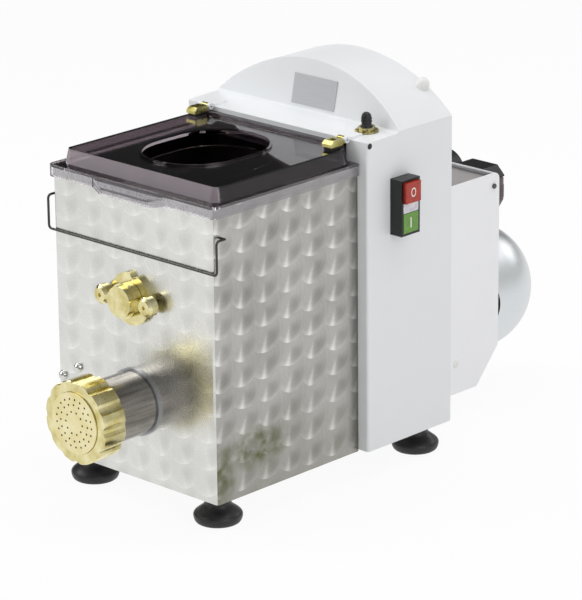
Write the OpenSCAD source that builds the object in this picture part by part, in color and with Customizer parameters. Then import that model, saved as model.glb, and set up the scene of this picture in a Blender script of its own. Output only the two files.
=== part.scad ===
// Electric pasta extruder for the worktop: a steel mixing box with a clear lid in
// front, a white gear casing behind it, and the motor in a box of its own at the rear.
// X runs across the machine, Y from the front to the back, Z up from the table.
// Heights are above the table, and depths are behind the face of the steel box.

/* [Feet and base] */
// Height of a foot, which is the underside of the base plate
foot_h = 31.5; // [26:0.5:40]
// Radius of a foot where it is widest
foot_r = 25.5; // [20:0.5:28]
// How much smaller the sole's radius is
foot_tuck = 4.5; // [1:0.5:6]
// Radius of a foot's neck
foot_neck_r = 14; // [11:0.5:18]
// Height at which a foot is widest
foot_rim_h = 8; // [4:0.5:10]
// Height at which a foot's dome meets its neck
foot_dome_h = 21; // [15:0.5:24]
// Distance from a front foot's centre to the faces of the steel box
foot_inset = 25; // [22:0.5:40]
// Distance from a rear foot's centre to the side of the casing
rear_foot_inset = 29; // [26:0.5:60]
// Distance from a rear foot's centre to the back of the casing
rear_foot_back = 26; // [24:0.5:60]
// Radius of a foot bolt
foot_bolt_r = 4; // [3:0.5:5]
// Radius of a foot bolt's head
foot_head_r = 7; // [6:0.5:8]
// Thickness of a foot bolt's head and of its nut
foot_head_t = 5; // [4:0.5:6]
// Thickness of the base plate
base_t = 3; // [2:0.5:5]

/* [Steel box] */
// Width of the steel box
box_w = 232; // [226:1:240]
// Depth of the steel box, from its face to the casing
box_d = 210; // [200:1:230]
// Height of the steel box, from its lower edge to its rim
box_h = 312; // [284:0.5:330]
// Thickness of the steel sheet
sheet_t = 1.5; // [1:0.1:2]
// Outer radius of the bends at the front corners
bend_r = 4; // [3:0.5:8]
// Width of the turned-in edge under the box
hem_w = 8; // [5:0.5:10]
// Distance of the outer dome screw from the middle
screw_far_x = 108.5; // [100:0.5:109]
// Height of the outer dome screw above the extruder's axis
screw_far_z = 3; // [-10:0.5:10]
// Distance of the inner dome screw from the middle
screw_near_x = 85; // [75:0.5:95]
// Height of the inner dome screw above the extruder's axis
screw_near_z = 17; // [0:0.5:30]
// Radius of a dome screw's head
dome_head_r = 5.4; // [3:0.1:6]
// Radius of a dome screw's shank
dome_shank_r = 2; // [1.5:0.1:2.5]
// Length of a dome screw's shank
dome_shank_l = 9; // [6:0.5:12]

/* [Mixing tank] */
// Inner half width of the tank at the top
tank_half = 105; // [95:0.5:107]
// Inner radius of the trough around the mixer
trough_r = 74; // [60:0.5:76]
// Height above the mixer's axis at which the sloping walls end
shoulder_h = 58; // [40:1:70]
// Thickness of the tank's sheet
tank_t = 1.5; // [1:0.1:2]
// Gap between the face of the steel box and the tank
tank_gap = 3; // [2.5:0.5:6]
// Gap between the back of the tank and the casing
tank_back_gap = 3.5; // [3:0.5:8]
// Half width of the outlet in the bottom of the trough
outlet_half = 15; // [12:0.5:16]
// Front end of the outlet
outlet_y0 = 60; // [40:1:80]
// Back end of the outlet
outlet_y1 = 150; // [120:1:165]
// Height to which the outlet's neck reaches above the auger's axis
neck_above_axis = 26; // [24:0.5:28]
// Outer radius of a shaft seal
seal_r = 15; // [13:0.5:18]
// Width of a shaft seal
seal_w = 4; // [3:0.5:5]

/* [Extruder] */
// Height of the extruder's axis
extruder_z = 114; // [100:0.5:120]
// Outer radius of the extruder tube
tube_r = 34; // [32:0.1:35]
// Inner radius of the extruder tube
barrel_r = 30; // [28:0.1:31]
// Length of plain tube in front of the box
tube_out = 59; // [40:1:70]
// Radius of the threaded head of the tube
head_r = 36.2; // [34:0.1:38]
// Length of the threaded head
head_l = 18; // [15:0.5:24]
// Thickness of the tube's rear wall
tube_back_t = 8; // [5:0.5:10]
// Radius of the welded ring where the tube leaves the box
tube_ring_r = 36; // [35.5:0.5:40]
// Thickness of that ring
tube_ring_t = 3; // [2:0.5:5]
// Gap between the flight and the barrel
auger_gap = 0.6; // [0.4:0.1:2]
// Radius of the auger's core
auger_core_r = 9; // [8:0.5:10]
// Pitch of the auger
auger_pitch = 36; // [30:1:45]
// Angle that the flight covers in a cross section
flight_angle = 52; // [35:1:60]
// Gap between the flight and the die
auger_tip_gap = 12; // [10:0.5:20]
// Length of the pointed tip of the auger
auger_tip_l = 6; // [4:0.5:8]
// Radius of the auger's shaft
auger_shaft_r = 10; // [8:0.5:11]

/* [Die and ring nut] */
// How much smaller the die's hidden rim is than the threaded head
die_edge = 0.2; // [0.1:0.1:1]
// Radius of the die's visible face
die_face_r = 32.5; // [29:0.1:33.5]
// Thickness of the die's rim
die_t = 5; // [4:0.5:8]
// Depth of the die's visible face
die_face_t = 5; // [3:0.5:6]
// Radius of one pasta hole
pasta_hole_r = 1.1; // [0.8:0.1:1.5]
// Radius of the inner ring of holes
ring_1_r = 12; // [10:0.5:13]
// Number of holes in the inner ring
ring_1_n = 10; // [8:1:12]
// Radius of the middle ring of holes
ring_2_r = 19.5; // [18:0.5:20.5]
// Number of holes in the middle ring
ring_2_n = 16; // [12:1:18]
// Radius of the outer ring of holes
ring_3_r = 25.5; // [24.5:0.5:26]
// Number of holes in the outer ring
ring_3_n = 21; // [16:1:24]
// Outer radius of the ring nut
nut_r = 44; // [42:0.5:50]
// Length of the ring nut
nut_l = 30; // [27:0.5:34]
// Depth by which the die's face stands in front of the ring nut's face
die_proud = 1.5; // [0.5:0.1:2]
// Number of grip hollows around the ring nut
nut_lobes = 12; // [8:1:14]
// Radius of the cutter that leaves a grip hollow
nut_cut_r = 9; // [6:0.5:12]
// Depth of a grip hollow
nut_cut_depth = 2.6; // [2:0.1:4]
// Pitch of the ring nut's thread
nut_pitch = 3; // [2:0.5:4]

/* [Front bearing and wing nut] */
// Radius of the brass bearing flange
hub_r = 28; // [26:0.5:32]
// Thickness of that flange
hub_t = 5; // [4:0.5:7]
// Radius of the threaded bush in front of the flange
bush_r = 13; // [11:0.5:14]
// Length of the threaded bush
bush_l = 7; // [5:0.5:9]
// Radius of the spigot that passes through the sheet
spigot_r = 14; // [12:0.5:15]
// Radius of the notch in the rim of the flange
hub_notch_r = 5; // [3:0.5:6]
// Turn of that notch from the top
hub_notch_turn = 12; // [0:1:30]
// Radius of the wing nut's body
wing_body_r = 18.5; // [18:0.5:24]
// Length of the wing nut's body
wing_body_l = 10; // [9:0.5:15]
// Radius of the boss on the wing nut
wing_boss_r = 16.5; // [12:0.5:18]
// Length of that boss
wing_boss_l = 6; // [4:0.5:9]
// Distance from the middle to the centre of a wing
wing_reach = 32; // [30:0.5:34]
// Radius of a wing's knob
wing_knob_r = 10.5; // [7:0.5:12]
// Length of a wing's knob
wing_knob_l = 9; // [8:0.5:14]
// Depth of the rounding on a knob's face
wing_knob_dome = 3; // [2:0.5:4]
// Height of the arm that carries a knob
wing_arm_h = 9; // [6:0.5:12]
// Thickness of the arm that carries a knob
wing_arm_t = 8; // [6:0.5:9]
// Radius of the dimple in a knob
dimple_r = 2; // [1:0.1:3]
// Outer radius of the friction washer in the wing nut
washer_r = 15.5; // [14.5:0.1:16]
// Thickness of the friction washer
washer_t = 1.4; // [1:0.1:2]
// Pitch of the wing nut's thread
wing_pitch = 2; // [1.5:0.5:3]

/* [Mixer] */
// Radius of the mixer shaft
shaft_r = 10; // [8:0.5:11]
// Gap between the end of the shaft and the front of its bush
shaft_recess = 0.5; // [0.3:0.1:2]
// Outer radius of the paddle sleeve
sleeve_r = 15.5; // [13:0.5:18]
// Gap between the paddle sleeve and each shaft seal
sleeve_gap = 15; // [8:1:30]
// Number of paddles
paddle_n = 4; // [3:1:5]
// Radius of a paddle's arm
paddle_arm_r = 6; // [4:0.5:8]
// Gap between a paddle and the trough
paddle_gap = 4; // [3:0.5:8]
// Length of a paddle's blade along the shaft
blade_l = 34; // [20:1:38]
// Height of a paddle's blade
blade_h = 16; // [10:1:20]
// Thickness of a paddle's blade
blade_t = 6; // [4:0.5:10]
// Width of the dog between the mixer shaft and the drive shaft
dog_w = 7; // [5:0.5:9]
// Length of that dog
dog_l = 10; // [6:0.5:12]

/* [Lid] */
// Gap between the lid's skirt and the steel box
skirt_gap = 0.8; // [0.5:0.1:1.5]
// Thickness of the lid's walls
lid_t = 3; // [2:0.1:3.5]
// Depth of the lid's skirt
skirt_h = 12.5; // [8:0.5:14]
// Gap between the rim of the box and the lid's plate
lid_seat_gap = 0.3; // [0.2:0.1:1]
// Gap between the back of the lid and the casing
lid_back_gap = 1.5; // [1:0.1:3]
// Height of the raised part above the lid's plate
dome_h = 15.3; // [10:0.1:18]
// Width of the flat ledge beside the raised part
dome_inset = 7.8; // [5:0.1:15]
// Width of the flat ledge in front of the raised part
dome_front_inset = 13; // [8:0.5:20]
// How far the raised part's walls lean in
dome_lean = 3.5; // [2:0.1:6]
// Radius of the raised part's corners
dome_corner_r = 10; // [6:0.5:16]
// Gap between the upright edge at the lid's rear and the hinges
upstand_gap = 0.3; // [0.2:0.1:2]
// Radius of the round ends of the filling opening
oval_r = 55; // [40:0.5:58]
// Distance between the centres of its round ends
oval_run = 30; // [10:1:40]
// Height of the lip around the filling opening
lip_h = 2; // [1:0.1:4]
// Thickness of the collar around the filling opening
collar_t = 2.6; // [2:0.1:4]
// Depth of the collar below the top of the lid
collar_depth = 16; // [8:0.5:18]
// Half width of the finger tab where it leaves the skirt
tab_half = 51; // [40:1:60]
// Half width of the finger tab at its lip
tab_lip_half = 33; // [25:1:39]
// How far the finger tab stands out from the skirt
tab_out = 7.2; // [5:0.1:7.5]
// Fall of the finger tab from the skirt to its lip
tab_fall = 4.8; // [3:0.1:6]
// Thickness of the finger tab
tab_t = 2.5; // [2:0.1:3]
// Distance from the top of the lid's plate to the finger tab
tab_drop = 2; // [1:0.1:3]
// How far the skirt reaches lower behind the tab
skirt_dip = 5; // [2:0.5:5]
// Width of the slit at the end of the finger tab
slit_w = 1.6; // [1:0.1:2.5]

/* [Lid hinges] */
// Distance from the middle to the centre of a hinge
hinge_x = 98; // [80:1:99]
// Width of a lid strap
strap_w = 13; // [11:0.5:20]
// Thickness of a lid strap
strap_t = 6.5; // [5:0.5:9]
// Length of a lid strap, without its knuckle
strap_l = 18; // [15:0.5:30]
// Length of the slope at the front end of a strap
strap_bevel = 4; // [2:0.5:6]
// Thickness of the pad between the lid and a strap
pad_t = 3.3; // [2.5:0.1:5]
// Radius of a hinge knuckle
knuckle_r = 3.5; // [3:0.1:4.5]
// Width of the lid's knuckle
knuckle_w = 8; // [7:0.5:12]
// Radius of a hinge pin
hinge_pin_r = 1.5; // [1:0.1:2]
// Height of the hinge axis above the ledge's front edge
hinge_up = 0.5; // [0:0.1:2]
// Gap between a knuckle and the casing
knuckle_gap = 0.5; // [0.3:0.1:1]
// Gap between a hinge leaf and the toggle switch's flange
leaf_toggle_gap = 0.7; // [0.3:0.1:4]
// Thickness of a hinge leaf
leaf_t = 2; // [1.5:0.1:3]

/* [Wire bail] */
// Radius of the bail's wire
wire_r = 1.3; // [1:0.1:1.5]
// Distance from the face of the box to the bail's pivots
bail_y = 10; // [8:0.5:11]
// Distance from the rim of the box down to the bail's pivots
bail_pivot_drop = 31; // [27:0.5:34]
// Gap between the bail's bar, when it swings up, and the finger tab
bail_tab_gap = 1.5; // [1:0.1:4]
// Gap between the bail and the face of the box
bail_gap = 0.5; // [0.3:0.1:1]
// Gap between the bail's arms and the lid's skirt
bail_side_gap = 0.7; // [0.5:0.1:1.5]
// Radius of the bends in the bail, at the middle of the wire
bail_bend_r = 4; // [3:0.5:6]
// Length of the pivot inside the box
bail_pin_in = 4; // [2:0.5:4.5]

/* [Gear casing] */
// Width of the gear casing
casing_w = 260; // [254:1:280]
// Depth of the gear casing, from its front to its seam
casing_d = 115; // [110:1:130]
// Depth of the rear cover
cover_d = 17.5; // [8:0.5:20]
// Thickness of the casing's walls
casing_t = 3; // [2:0.5:4]
// Height of the casing's lower edge above that of the steel box
casing_lift = 2; // [1:0.5:4]
// Height of the ledge's front edge above the rim of the steel box
ledge_rise = 26; // [20:0.5:30]
// Rise of the ledge from its front edge to the arch
ledge_slope_h = 1.5; // [1:0.5:8]
// Depth of the ledge
ledge_d = 48; // [46:1:55]
// How far the arch's face leans back over its height
arch_lean = 11; // [5:0.5:16]
// Height of the arch's sides above the rim of the steel box
arch_side_rise = 29.5; // [27:0.5:36]
// Rise of the arch from its sides to its top
arch_rise = 52; // [30:0.5:60]
// Radius of the rounding where the ledge meets the arch
arch_foot_r = 3.5; // [3:0.5:5]
// Radius of the casing's upright edges
casing_edge_r = 3; // [2:0.5:5]
// Distance from the middle to the round plug on the arch
plug_x = 94; // [60:1:105]
// Radius of the round plug
plug_r = 8; // [5:0.5:9]
// Height of the round plug's rim
plug_rim_h = 2; // [1:0.5:3]

/* [Gears] */
// Module of the mixer and auger gears
pair_module = 2; // [2:1:2]
// Teeth of the gear on the drive shaft that turns the auger
mixer_teeth = 70; // [66:1:70]
// Teeth of the auger's gear
auger_teeth = 42; // [40:1:42]
// Module of the main wheel and its pinion
wheel_module = 2; // [2:1:2]
// Teeth of the main wheel
wheel_teeth = 90; // [86:1:92]
// Teeth of the pinion on the counter shaft
pinion_teeth = 15; // [15:1:16]
// Module of the gears behind the main wheel
motor_module = 1.5; // [1.5:0.5:1.5]
// Teeth of the counter gear
counter_teeth = 75; // [73:1:75]
// Teeth of the pinion on the motor shaft
motor_teeth = 15; // [15:1:16]
// Pressure angle of the teeth
pressure_angle = 20; // [20:1:22]
// Thickness taken off each tooth for play
tooth_play = 0.3; // [0.2:0.05:0.5]
// Height of a tooth above the pitch circle, as a share of the module
addendum = 0.8; // [0.7:0.05:0.9]
// Depth of a tooth below the pitch circle, as a share of the module
dedendum = 1.05; // [1:0.05:1.2]
// Width of the mixer and auger gears
pair_w = 14; // [10:1:16]
// Width of the main wheel
wheel_w = 14; // [10:1:16]
// Width of the counter gear
counter_w = 12; // [8:1:14]
// Gap between neighbouring rows of gears
row_gap = 6; // [5:0.5:8]
// Radius of the counter shaft
counter_shaft_r = 8; // [6:0.5:9]
// Thickness of the two gear plates
plate_t = 6; // [4:0.5:8]
// Distance from the casing's inner face to the front gear plate
plate_front_gap = 0.5; // [0.3:0.1:2]
// Distance from the gear plates' edges to the casing's walls
plate_side_gap = 5; // [4:0.5:8]
// Distance from the ledge's underside to the gear plates
plate_top_gap = 26; // [10:1:40]
// Radius of the posts between the gear plates
post_r = 6; // [5:0.5:8]
// Distance from the ends of the gear plates to the posts' centres
post_inset = 9; // [8:0.5:12]
// Distance from the middle to the posts' centres
post_x = 84; // [80:1:88]
// Outer radius of the shaft bearings
bearing_r = 17; // [15:0.5:18]

/* [Motor] */
// Radius of the motor's body, without its fins
motor_r = 57; // [50:1:60]
// Height of the motor's fins
fin_h = 5; // [3:0.5:6]
// Width of a fin
fin_w = 3; // [2:0.5:4]
// Number of fins
fin_n = 24; // [16:2:32]
// Thickness of the motor's front shield
shield_front_t = 16; // [12:1:20]
// Thickness of the motor's rear shield
shield_back_t = 8; // [6:1:10]
// Length of the stator between the shields
stator_l = 114; // [90:1:114]
// Inner radius of the stator
stator_bore_r = 35; // [30:1:40]
// Gap between the rotor and the stator
air_gap = 1; // [0.5:0.1:2]
// Gap between the rotor and each shield
rotor_end_gap = 14; // [8:1:20]
// Radius of the motor shaft
motor_shaft_r = 9; // [7:0.5:9.5]
// How far the motor shaft reaches behind the rear shield
shaft_tail = 24; // [20:1:30]
// Radius of the cooling fan
fan_r = 54; // [40:1:60]
// Radius of the cooling fan's hub
fan_hub_r = 15; // [12:1:20]
// Width of the cooling fan
fan_w = 16; // [10:1:20]
// Gap between the rear shield and the fan
fan_gap = 4; // [3:0.5:8]
// Number of fan blades
fan_blades = 8; // [5:1:12]
// Thickness of a fan blade
fan_blade_t = 2.5; // [2:0.5:4]
// Outer radius of the domed fan cowl
cowl_r = 73; // [68:0.5:75]
// Thickness of the cowl's sheet
cowl_t = 1.2; // [0.8:0.1:2]
// Length of the cowl's straight part
cowl_run = 44; // [36:1:52]
// Height of the air slot in the cowl
slot_h = 46; // [20:1:60]
// Greatest width of the air slot in the cowl
slot_w = 7; // [3:0.5:9]
// Distance from the cowl's front end to its air slot
slot_back = 10.3; // [10:0.1:14]

/* [Motor cover] */
// Width of the motor cover
mcover_w = 152; // [150:1:170]
// Depth of the motor cover behind the casing
mcover_d = 140; // [134:1:150]
// Height of the motor cover's top above the rim of the steel box, taken down from it
mcover_drop = 73; // [50:0.5:80]
// Thickness of the motor cover's sheet
mcover_t = 1.5; // [1:0.1:3]
// Length of the sloping part below, along the bottom
chamfer_run = 36; // [20:1:50]
// Height of the sloping part below
chamfer_h = 40; // [20:1:45]
// Radius of the cover's upper rear edge
mcover_edge_r = 8; // [4:0.5:12]
// Gap around the cowl where it leaves the cover
cowl_gap = 1.2; // [0.8:0.1:2]
// Thickness of the grey top panel
top_panel_t = 2; // [1:0.1:3]
// Depth of the grey top panel below the cover's edge
top_panel_recess = 6.5; // [2:0.5:8]
// Radius of a cover screw's head
cover_head_r = 2.8; // [2.4:0.1:5]
// Height of a cover screw's head
cover_head_t = 1.8; // [1:0.1:3]
// Radius of a cover screw's shank
cover_shank_r = 1.6; // [1:0.1:2]
// Length of a cover screw's shank
cover_shank_l = 7; // [5:0.5:10]
// Distance from the cover's rear to its screw
cover_screw_back = 9.5; // [8:0.5:20]
// Distance from the cover's top to its screw
cover_screw_drop = 14.5; // [12:0.5:20]

/* [Terminal box] */
// Left side of the terminal box, from the middle
tbox_x0 = 6; // [5:1:16]
// Right side of the terminal box, from the middle
tbox_x1 = 62; // [50:1:66]
// Depth of the terminal box
tbox_d = 25; // [24:1:32]
// Height of the terminal box
tbox_h = 22; // [16:1:30]
// Distance from the top of the motor cover to the top of the terminal box
tbox_drop = 2; // [0:1:8]
// Size of the terminal box's corner slopes
tbox_bevel = 10; // [4:1:10]
// Thickness of the terminal box's walls
tbox_t = 1.5; // [1:0.1:2]
// Height of the terminal box's arm, from which the cable gland hangs
tbox_arm_h = 11.5; // [11.5:0.5:14]
// Length of the cable gland
gland_l = 32; // [24:1:36]
// Radius of the cable gland
gland_r = 10.3; // [8:0.1:11]
// Length of the gland's tapered end
gland_taper = 8; // [5:0.5:10]
// Radius of the hole for the cable
gland_bore_r = 3; // [2:0.5:3]
// Number of rings around the cable gland
gland_ribs = 5; // [3:1:5]
// Pitch of those rings
gland_pitch = 3; // [2:0.1:3]
// Distance from the terminal box's right side to the gland's axis
gland_in = 4; // [4:0.5:8]
// Gap between the terminal box and the capacitor
cap_gap = 2.5; // [1:0.5:8]
// Radius of the capacitor
cap_r = 24; // [20:1:34]
// Length of the capacitor
cap_l = 28; // [20:1:50]
// Distance from the motor cover's top to the capacitor's axis
cap_drop = 21.5; // [18:0.5:40]

/* [Push-button switch] */
// Depth of the switch's body, out from the casing
switch_out = 16; // [12:0.5:20]
// Width of the switch's body
switch_w = 28; // [24:0.5:34]
// Height of the switch's body
switch_h = 60; // [54:0.5:70]
// Distance from the casing's front to the switch
switch_back = 34.5; // [30:0.5:60]
// Height of the switch's lower edge above the mixer's axis
switch_above = 37.5; // [20:0.5:40]
// Thickness of the switch body's rim
switch_rim = 2.4; // [1.5:0.1:3]
// Height of the stop button
stop_h = 22.5; // [18:0.1:24]
// Height of the pilot lamp's lens
lens_h = 11; // [8:0.1:12]
// How far the stop button stands out of the switch
stop_out = 4; // [3:0.5:6]
// How far the start button and the lens stand out of the switch
start_out = 0.4; // [0.2:0.1:1]
// Length of a button inside the switch
button_in = 9; // [7:0.5:10]
// Travel of each button
button_travel = 3; // [2:0.5:3]
// Gap around each button
button_gap = 0.35; // [0.3:0.05:0.6]
// Depth of the contact block inside the casing
block_d = 30; // [20:1:34]

/* [Toggle switch] */
// Distance from the middle to the toggle switch
toggle_x = 100; // [60:1:105]
// Gap between the toggle switch and the rounding at the arch's foot
toggle_arch_gap = 0.2; // [0.1:0.1:4]
// Radius of the toggle's brass flange
toggle_flange_r = 12.5; // [11:0.1:13]
// Thickness of that flange
toggle_flange_t = 2; // [1:0.1:3]
// Outer radius of the flange's collar
toggle_collar_r = 9; // [8.5:0.1:10]
// Height of the flange's collar
toggle_collar_h = 5.5; // [3:0.1:6]
// Radius of the rubber boot's ball
boot_ball_r = 6.4; // [6:0.1:6.6]
// Radius of the rubber boot's stem
boot_r = 5.2; // [4:0.1:5.8]
// Height of the rubber boot
boot_h = 21; // [15:0.5:26]
// Height of the pin on which the toggle turns
toggle_pin_h = 3.5; // [3.3:0.1:4]
// Radius of that pin
toggle_pin_r = 1; // [0.8:0.1:1.5]
// Radius of the lever inside the boot
lever_r = 2.2; // [1.5:0.1:3]
// Radius of the small screws on the flange
flange_screw_r = 1.3; // [1:0.1:1.5]
// Width of the toggle's switch body
toggle_body_w = 20; // [14:1:24]
// Depth of the toggle's switch body
toggle_body_h = 22; // [14:1:26]

/* [Rating plate] */
// Width of the blank rating plate
plate_w = 61; // [40:1:80]
// Height of the blank rating plate
rating_h = 32; // [20:1:36]
// Thickness of the blank rating plate
rating_t = 0.6; // [0.4:0.1:1]
// Distance from the middle to the rating plate's centre
rating_x = 8; // [0:1:20]
// Distance from the arch's foot to the rating plate's lower edge
rating_up = 2; // [1:0.5:12]

/* [Fits] */
// Radial clearance of a shaft in its bearing
run_fit = 0.05; // [0.02:0.01:0.1]
// Radial clearance of a part that is held still
seat_fit = 0.2; // [0.1:0.05:0.3]
// Clearance between threads and between parts that slide
slide_fit = 0.35; // [0.3:0.05:0.5]

/* [Hidden] */
$fn = 64;
// A small overshoot that lets a cut pass its face
over = 1;

// Heights
box_z = foot_h - sheet_t;
rim_z = box_z + box_h;
base_top = foot_h + base_t;
mixer_z = extruder_z + pair_module * (mixer_teeth + auger_teeth) / 2;
casing_z = box_z + casing_lift;
ledge_z = rim_z + ledge_rise;
arch_side_z = rim_z + arch_side_rise;
arch_top_z = arch_side_z + arch_rise;
lid_plate_z = rim_z + lid_seat_gap;
lid_top_z = lid_plate_z + lid_t;
dome_top_z = lid_top_z + dome_h;
mcover_top = rim_z - mcover_drop;
switch_z = mixer_z + switch_above;

// Depths
seam_y = box_d + casing_d;
casing_back = seam_y + cover_d;
head_y0 = -tube_out - head_l;
die_rim_y = head_y0 - die_t;
die_face_y = die_rim_y - die_face_t;
nut_y0 = die_face_y + die_proud;
nut_y1 = nut_y0 + nut_l;
sleeve_y0 = tank_gap + seal_w + sleeve_gap;
sleeve_y1 = box_d - tank_back_gap - seal_w - sleeve_gap;
toggle_y = box_d + ledge_d - arch_foot_r - toggle_arch_gap - toggle_flange_r;
plate_y0 = box_d + casing_t + plate_front_gap;
pair_y = plate_y0 + plate_t + row_gap;
wheel_y = pair_y + pair_w + row_gap;
counter_y = wheel_y + wheel_w + row_gap;
plate_y1 = counter_y + counter_w + row_gap + plate_t;
shield_y = casing_back;
stator_y = shield_y + shield_front_t;
back_shield_y = stator_y + stator_l;
mcover_back = casing_back + mcover_d;
fan_y = back_shield_y + shield_back_t + fan_gap;
cowl_y0 = back_shield_y;
cowl_centre_y = cowl_y0 + cowl_run;

// Widths
box_half = box_w / 2;
auger_r = barrel_r - auger_gap;
die_r = head_r - die_edge;
casing_half = casing_w / 2;
skirt_in = box_half + skirt_gap;
skirt_out = skirt_in + lid_t;
skirt_y = -skirt_gap - lid_t;
lid_back = box_d - lid_back_gap;
pad_y1 = lid_back - lid_t - dome_lean;
bail_x = skirt_out + bail_side_gap + wire_r;
bail_bar_y = -bail_gap - wire_r;
bail_z = rim_z - bail_pivot_drop;
bail_reach = norm([bail_y - skirt_y + tab_out, lid_top_z - tab_drop - tab_fall - bail_z])
    + wire_r + bail_tab_gap;
bail_bar_z = bail_z - sqrt(bail_reach * bail_reach - pow(bail_y - bail_bar_y, 2));
mcover_half = max(mcover_w / 2, cowl_r + cowl_gap + mcover_t);
stop_face_x = casing_half + switch_out + stop_out;

// The arch is a circle through the tops of both sides and its own top
arch_r = (casing_half * casing_half + arch_rise * arch_rise) / (2 * arch_rise);
arch_centre_z = arch_top_z - arch_r;
ledge_tilt = atan(ledge_slope_h / ledge_d);

// The origin lies under the middle of the whole machine
mid_x = (stop_face_x - casing_half) / 2;
mid_y = (cowl_centre_y + cowl_r + die_face_y) / 2;

// The counter shaft lies where its two gears mesh with the main wheel and the motor
wheel_dist = wheel_module * (wheel_teeth + pinion_teeth) / 2;
motor_dist = motor_module * (counter_teeth + motor_teeth) / 2;
axis_dist = mixer_z - extruder_z;
counter_up = (motor_dist * motor_dist - wheel_dist * wheel_dist
    + axis_dist * axis_dist) / (2 * axis_dist);
counter_x = sqrt(motor_dist * motor_dist - counter_up * counter_up);
counter_z = extruder_z + counter_up;

// Hinge axis
hinge_y = box_d - knuckle_gap - knuckle_r;
hinge_z = ledge_z + hinge_up;

function ledge_at(y) = ledge_z + (y - box_d) * tan(ledge_tilt);
function arch_at(x) = arch_centre_z + sqrt(arch_r * arch_r - x * x);
function involute(a) = tan(a) * 180 / PI - a;
// Turn of a gear whose teeth mesh with a gear that lies in direction dir from it
function mesh_turn(dir, turn, n1, n2) = dir + 180 + ((dir - turn) * n1 / 360 - 0.5) * 360 / n2;
function arc(cx, cy, r, a0, a1, n) = [for (i = [0:n]) let (a = a0 + (a1 - a0) * i / n)
    [cx + r * cos(a), cy + r * sin(a)]];

module place() {
    translate([-mid_x, -mid_y, 0]) children();
}

// A flat shape in X and Z, made solid from y0 to y1
module along_y(y0, y1) {
    translate([0, y1, 0]) rotate([90, 0, 0]) linear_extrude(height = y1 - y0) children();
}

// A flat shape in Y and Z, made solid from x0 to x1
module along_x(x0, x1) {
    translate([x0, 0, 0]) rotate([90, 0, 90]) linear_extrude(height = x1 - x0) children();
}

// A flat shape in X and Y, made solid from z0 to z1
module along_z(z0, z1) {
    translate([0, 0, z0]) linear_extrude(height = z1 - z0) children();
}

module rod_y(r, y0, y1, x = 0, z = 0) {
    translate([x, y1, z]) rotate([90, 0, 0]) cylinder(r = r, h = y1 - y0);
}

module rod_x(r, x0, x1, y, z) {
    translate([x0, y, z]) rotate([0, 90, 0]) cylinder(r = r, h = x1 - x0);
}

module ring_y(r, bore, y0, y1, x = 0, z = 0) {
    difference() {
        rod_y(r, y0, y1, x, z);
        rod_y(bore, y0 - over, y1 + over, x, z);
    }
}

module block(x0, x1, y0, y1, z0, z1) {
    translate([x0, y0, z0]) cube([x1 - x0, y1 - y0, z1 - z0]);
}

module both_sides() {
    children();
    mirror([1, 0, 0]) children();
}

// A rectangle from y0 to y1 with round corners at its front
module front_round(half, y0, y1, r) {
    translate([-half, y0 + r]) square([2 * half, y1 - y0 - r]);
    translate([-half + r, y0]) square([2 * (half - r), r]);
    for (x = [-half + r, half - r]) translate([x, y0 + r]) circle(r);
}

module round_rect(w, d, r) {
    square([w - 2 * r, d], center = true);
    square([w, d - 2 * r], center = true);
    for (x = [-1, 1], y = [-1, 1]) translate([x * (w / 2 - r), y * (d / 2 - r)]) circle(r);
}

// Outline of a spur gear with involute flanks, drawn in X and Z
module gear_outline(n, m, turn) {
    rp = n * m / 2;
    rb = rp * cos(pressure_angle);
    ra = rp + addendum * m;
    rf = rp - dedendum * m;
    play = tooth_play / 2 / rp * 180 / PI;
    radii = [rf, rp, ra];
    halves = [for (r = radii) 90 / n - play + involute(pressure_angle)
        - involute(acos(min(1, rb / max(r, rb))))];
    polygon([for (i = [0:n - 1], k = [0:5]) let (
        j = k < 3 ? k : 5 - k,
        a = turn + 360 * i / n + (k < 3 ? -1 : 1) * halves[j])
        [radii[j] * cos(a), radii[j] * sin(a)]]);
}

// A spur gear with a web thinner than its rim
module spur_gear(n, m, turn, bore, y0, w, x, z, hub, rim) {
    web = w / 3;
    translate([x, 0, z]) difference() {
        along_y(y0, y0 + w) gear_outline(n, m, turn);
        rod_y(bore + run_fit, y0 - over, y0 + w + over);
        for (y = [y0 - over, y0 + w - web]) {
            ring_y(n * m / 2 - rim, hub, y, y + web + over);
        }
    }
}

// ---- Base and feet ----

module base_plate() {
    inner = box_half - sheet_t - slide_fit;
    wide = casing_half - casing_t - slide_fit;
    place() color("silver") difference() {
        union() {
            block(-inner, inner, sheet_t + slide_fit, box_d + casing_t + over, foot_h, base_top);
            block(-wide, wide, box_d + casing_t + slide_fit, casing_back - casing_t - slide_fit,
                foot_h, base_top);
        }
        each_foot() translate([0, 0, foot_h - over]) cylinder(r = foot_bolt_r + seat_fit, h = base_t + 2 * over);
    }
}

module foot_at(i) {
    x = i < 2 ? box_half - foot_inset : casing_half - rear_foot_inset;
    y = i < 2 ? foot_inset : casing_back - rear_foot_back;
    translate([i % 2 == 0 ? -x : x, y, 0]) children();
}

module each_foot() {
    for (i = [0:3]) foot_at(i) children();
}

// A bell of rubber with a neck, and a pocket below for the bolt's head
module foot(i) {
    flare = foot_r - foot_neck_r;
    rise = foot_dome_h - foot_rim_h;
    profile = concat(
        [[foot_head_r + over, 0]],
        [for (a = [0:15:90]) [foot_r - foot_tuck * (1 - sin(a)), foot_rim_h * (1 - cos(a))]],
        [for (a = [18:18:180]) [foot_neck_r + flare * (1 + cos(a)) / 2, foot_rim_h + rise * a / 180]],
        [[foot_neck_r, foot_h], [foot_bolt_r + seat_fit, foot_h],
         [foot_bolt_r + seat_fit, foot_head_t + over], [foot_head_r + over, foot_head_t + over]]);
    place() color([0.08, 0.08, 0.08]) foot_at(i) rotate_extrude() polygon(profile);
}

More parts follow.
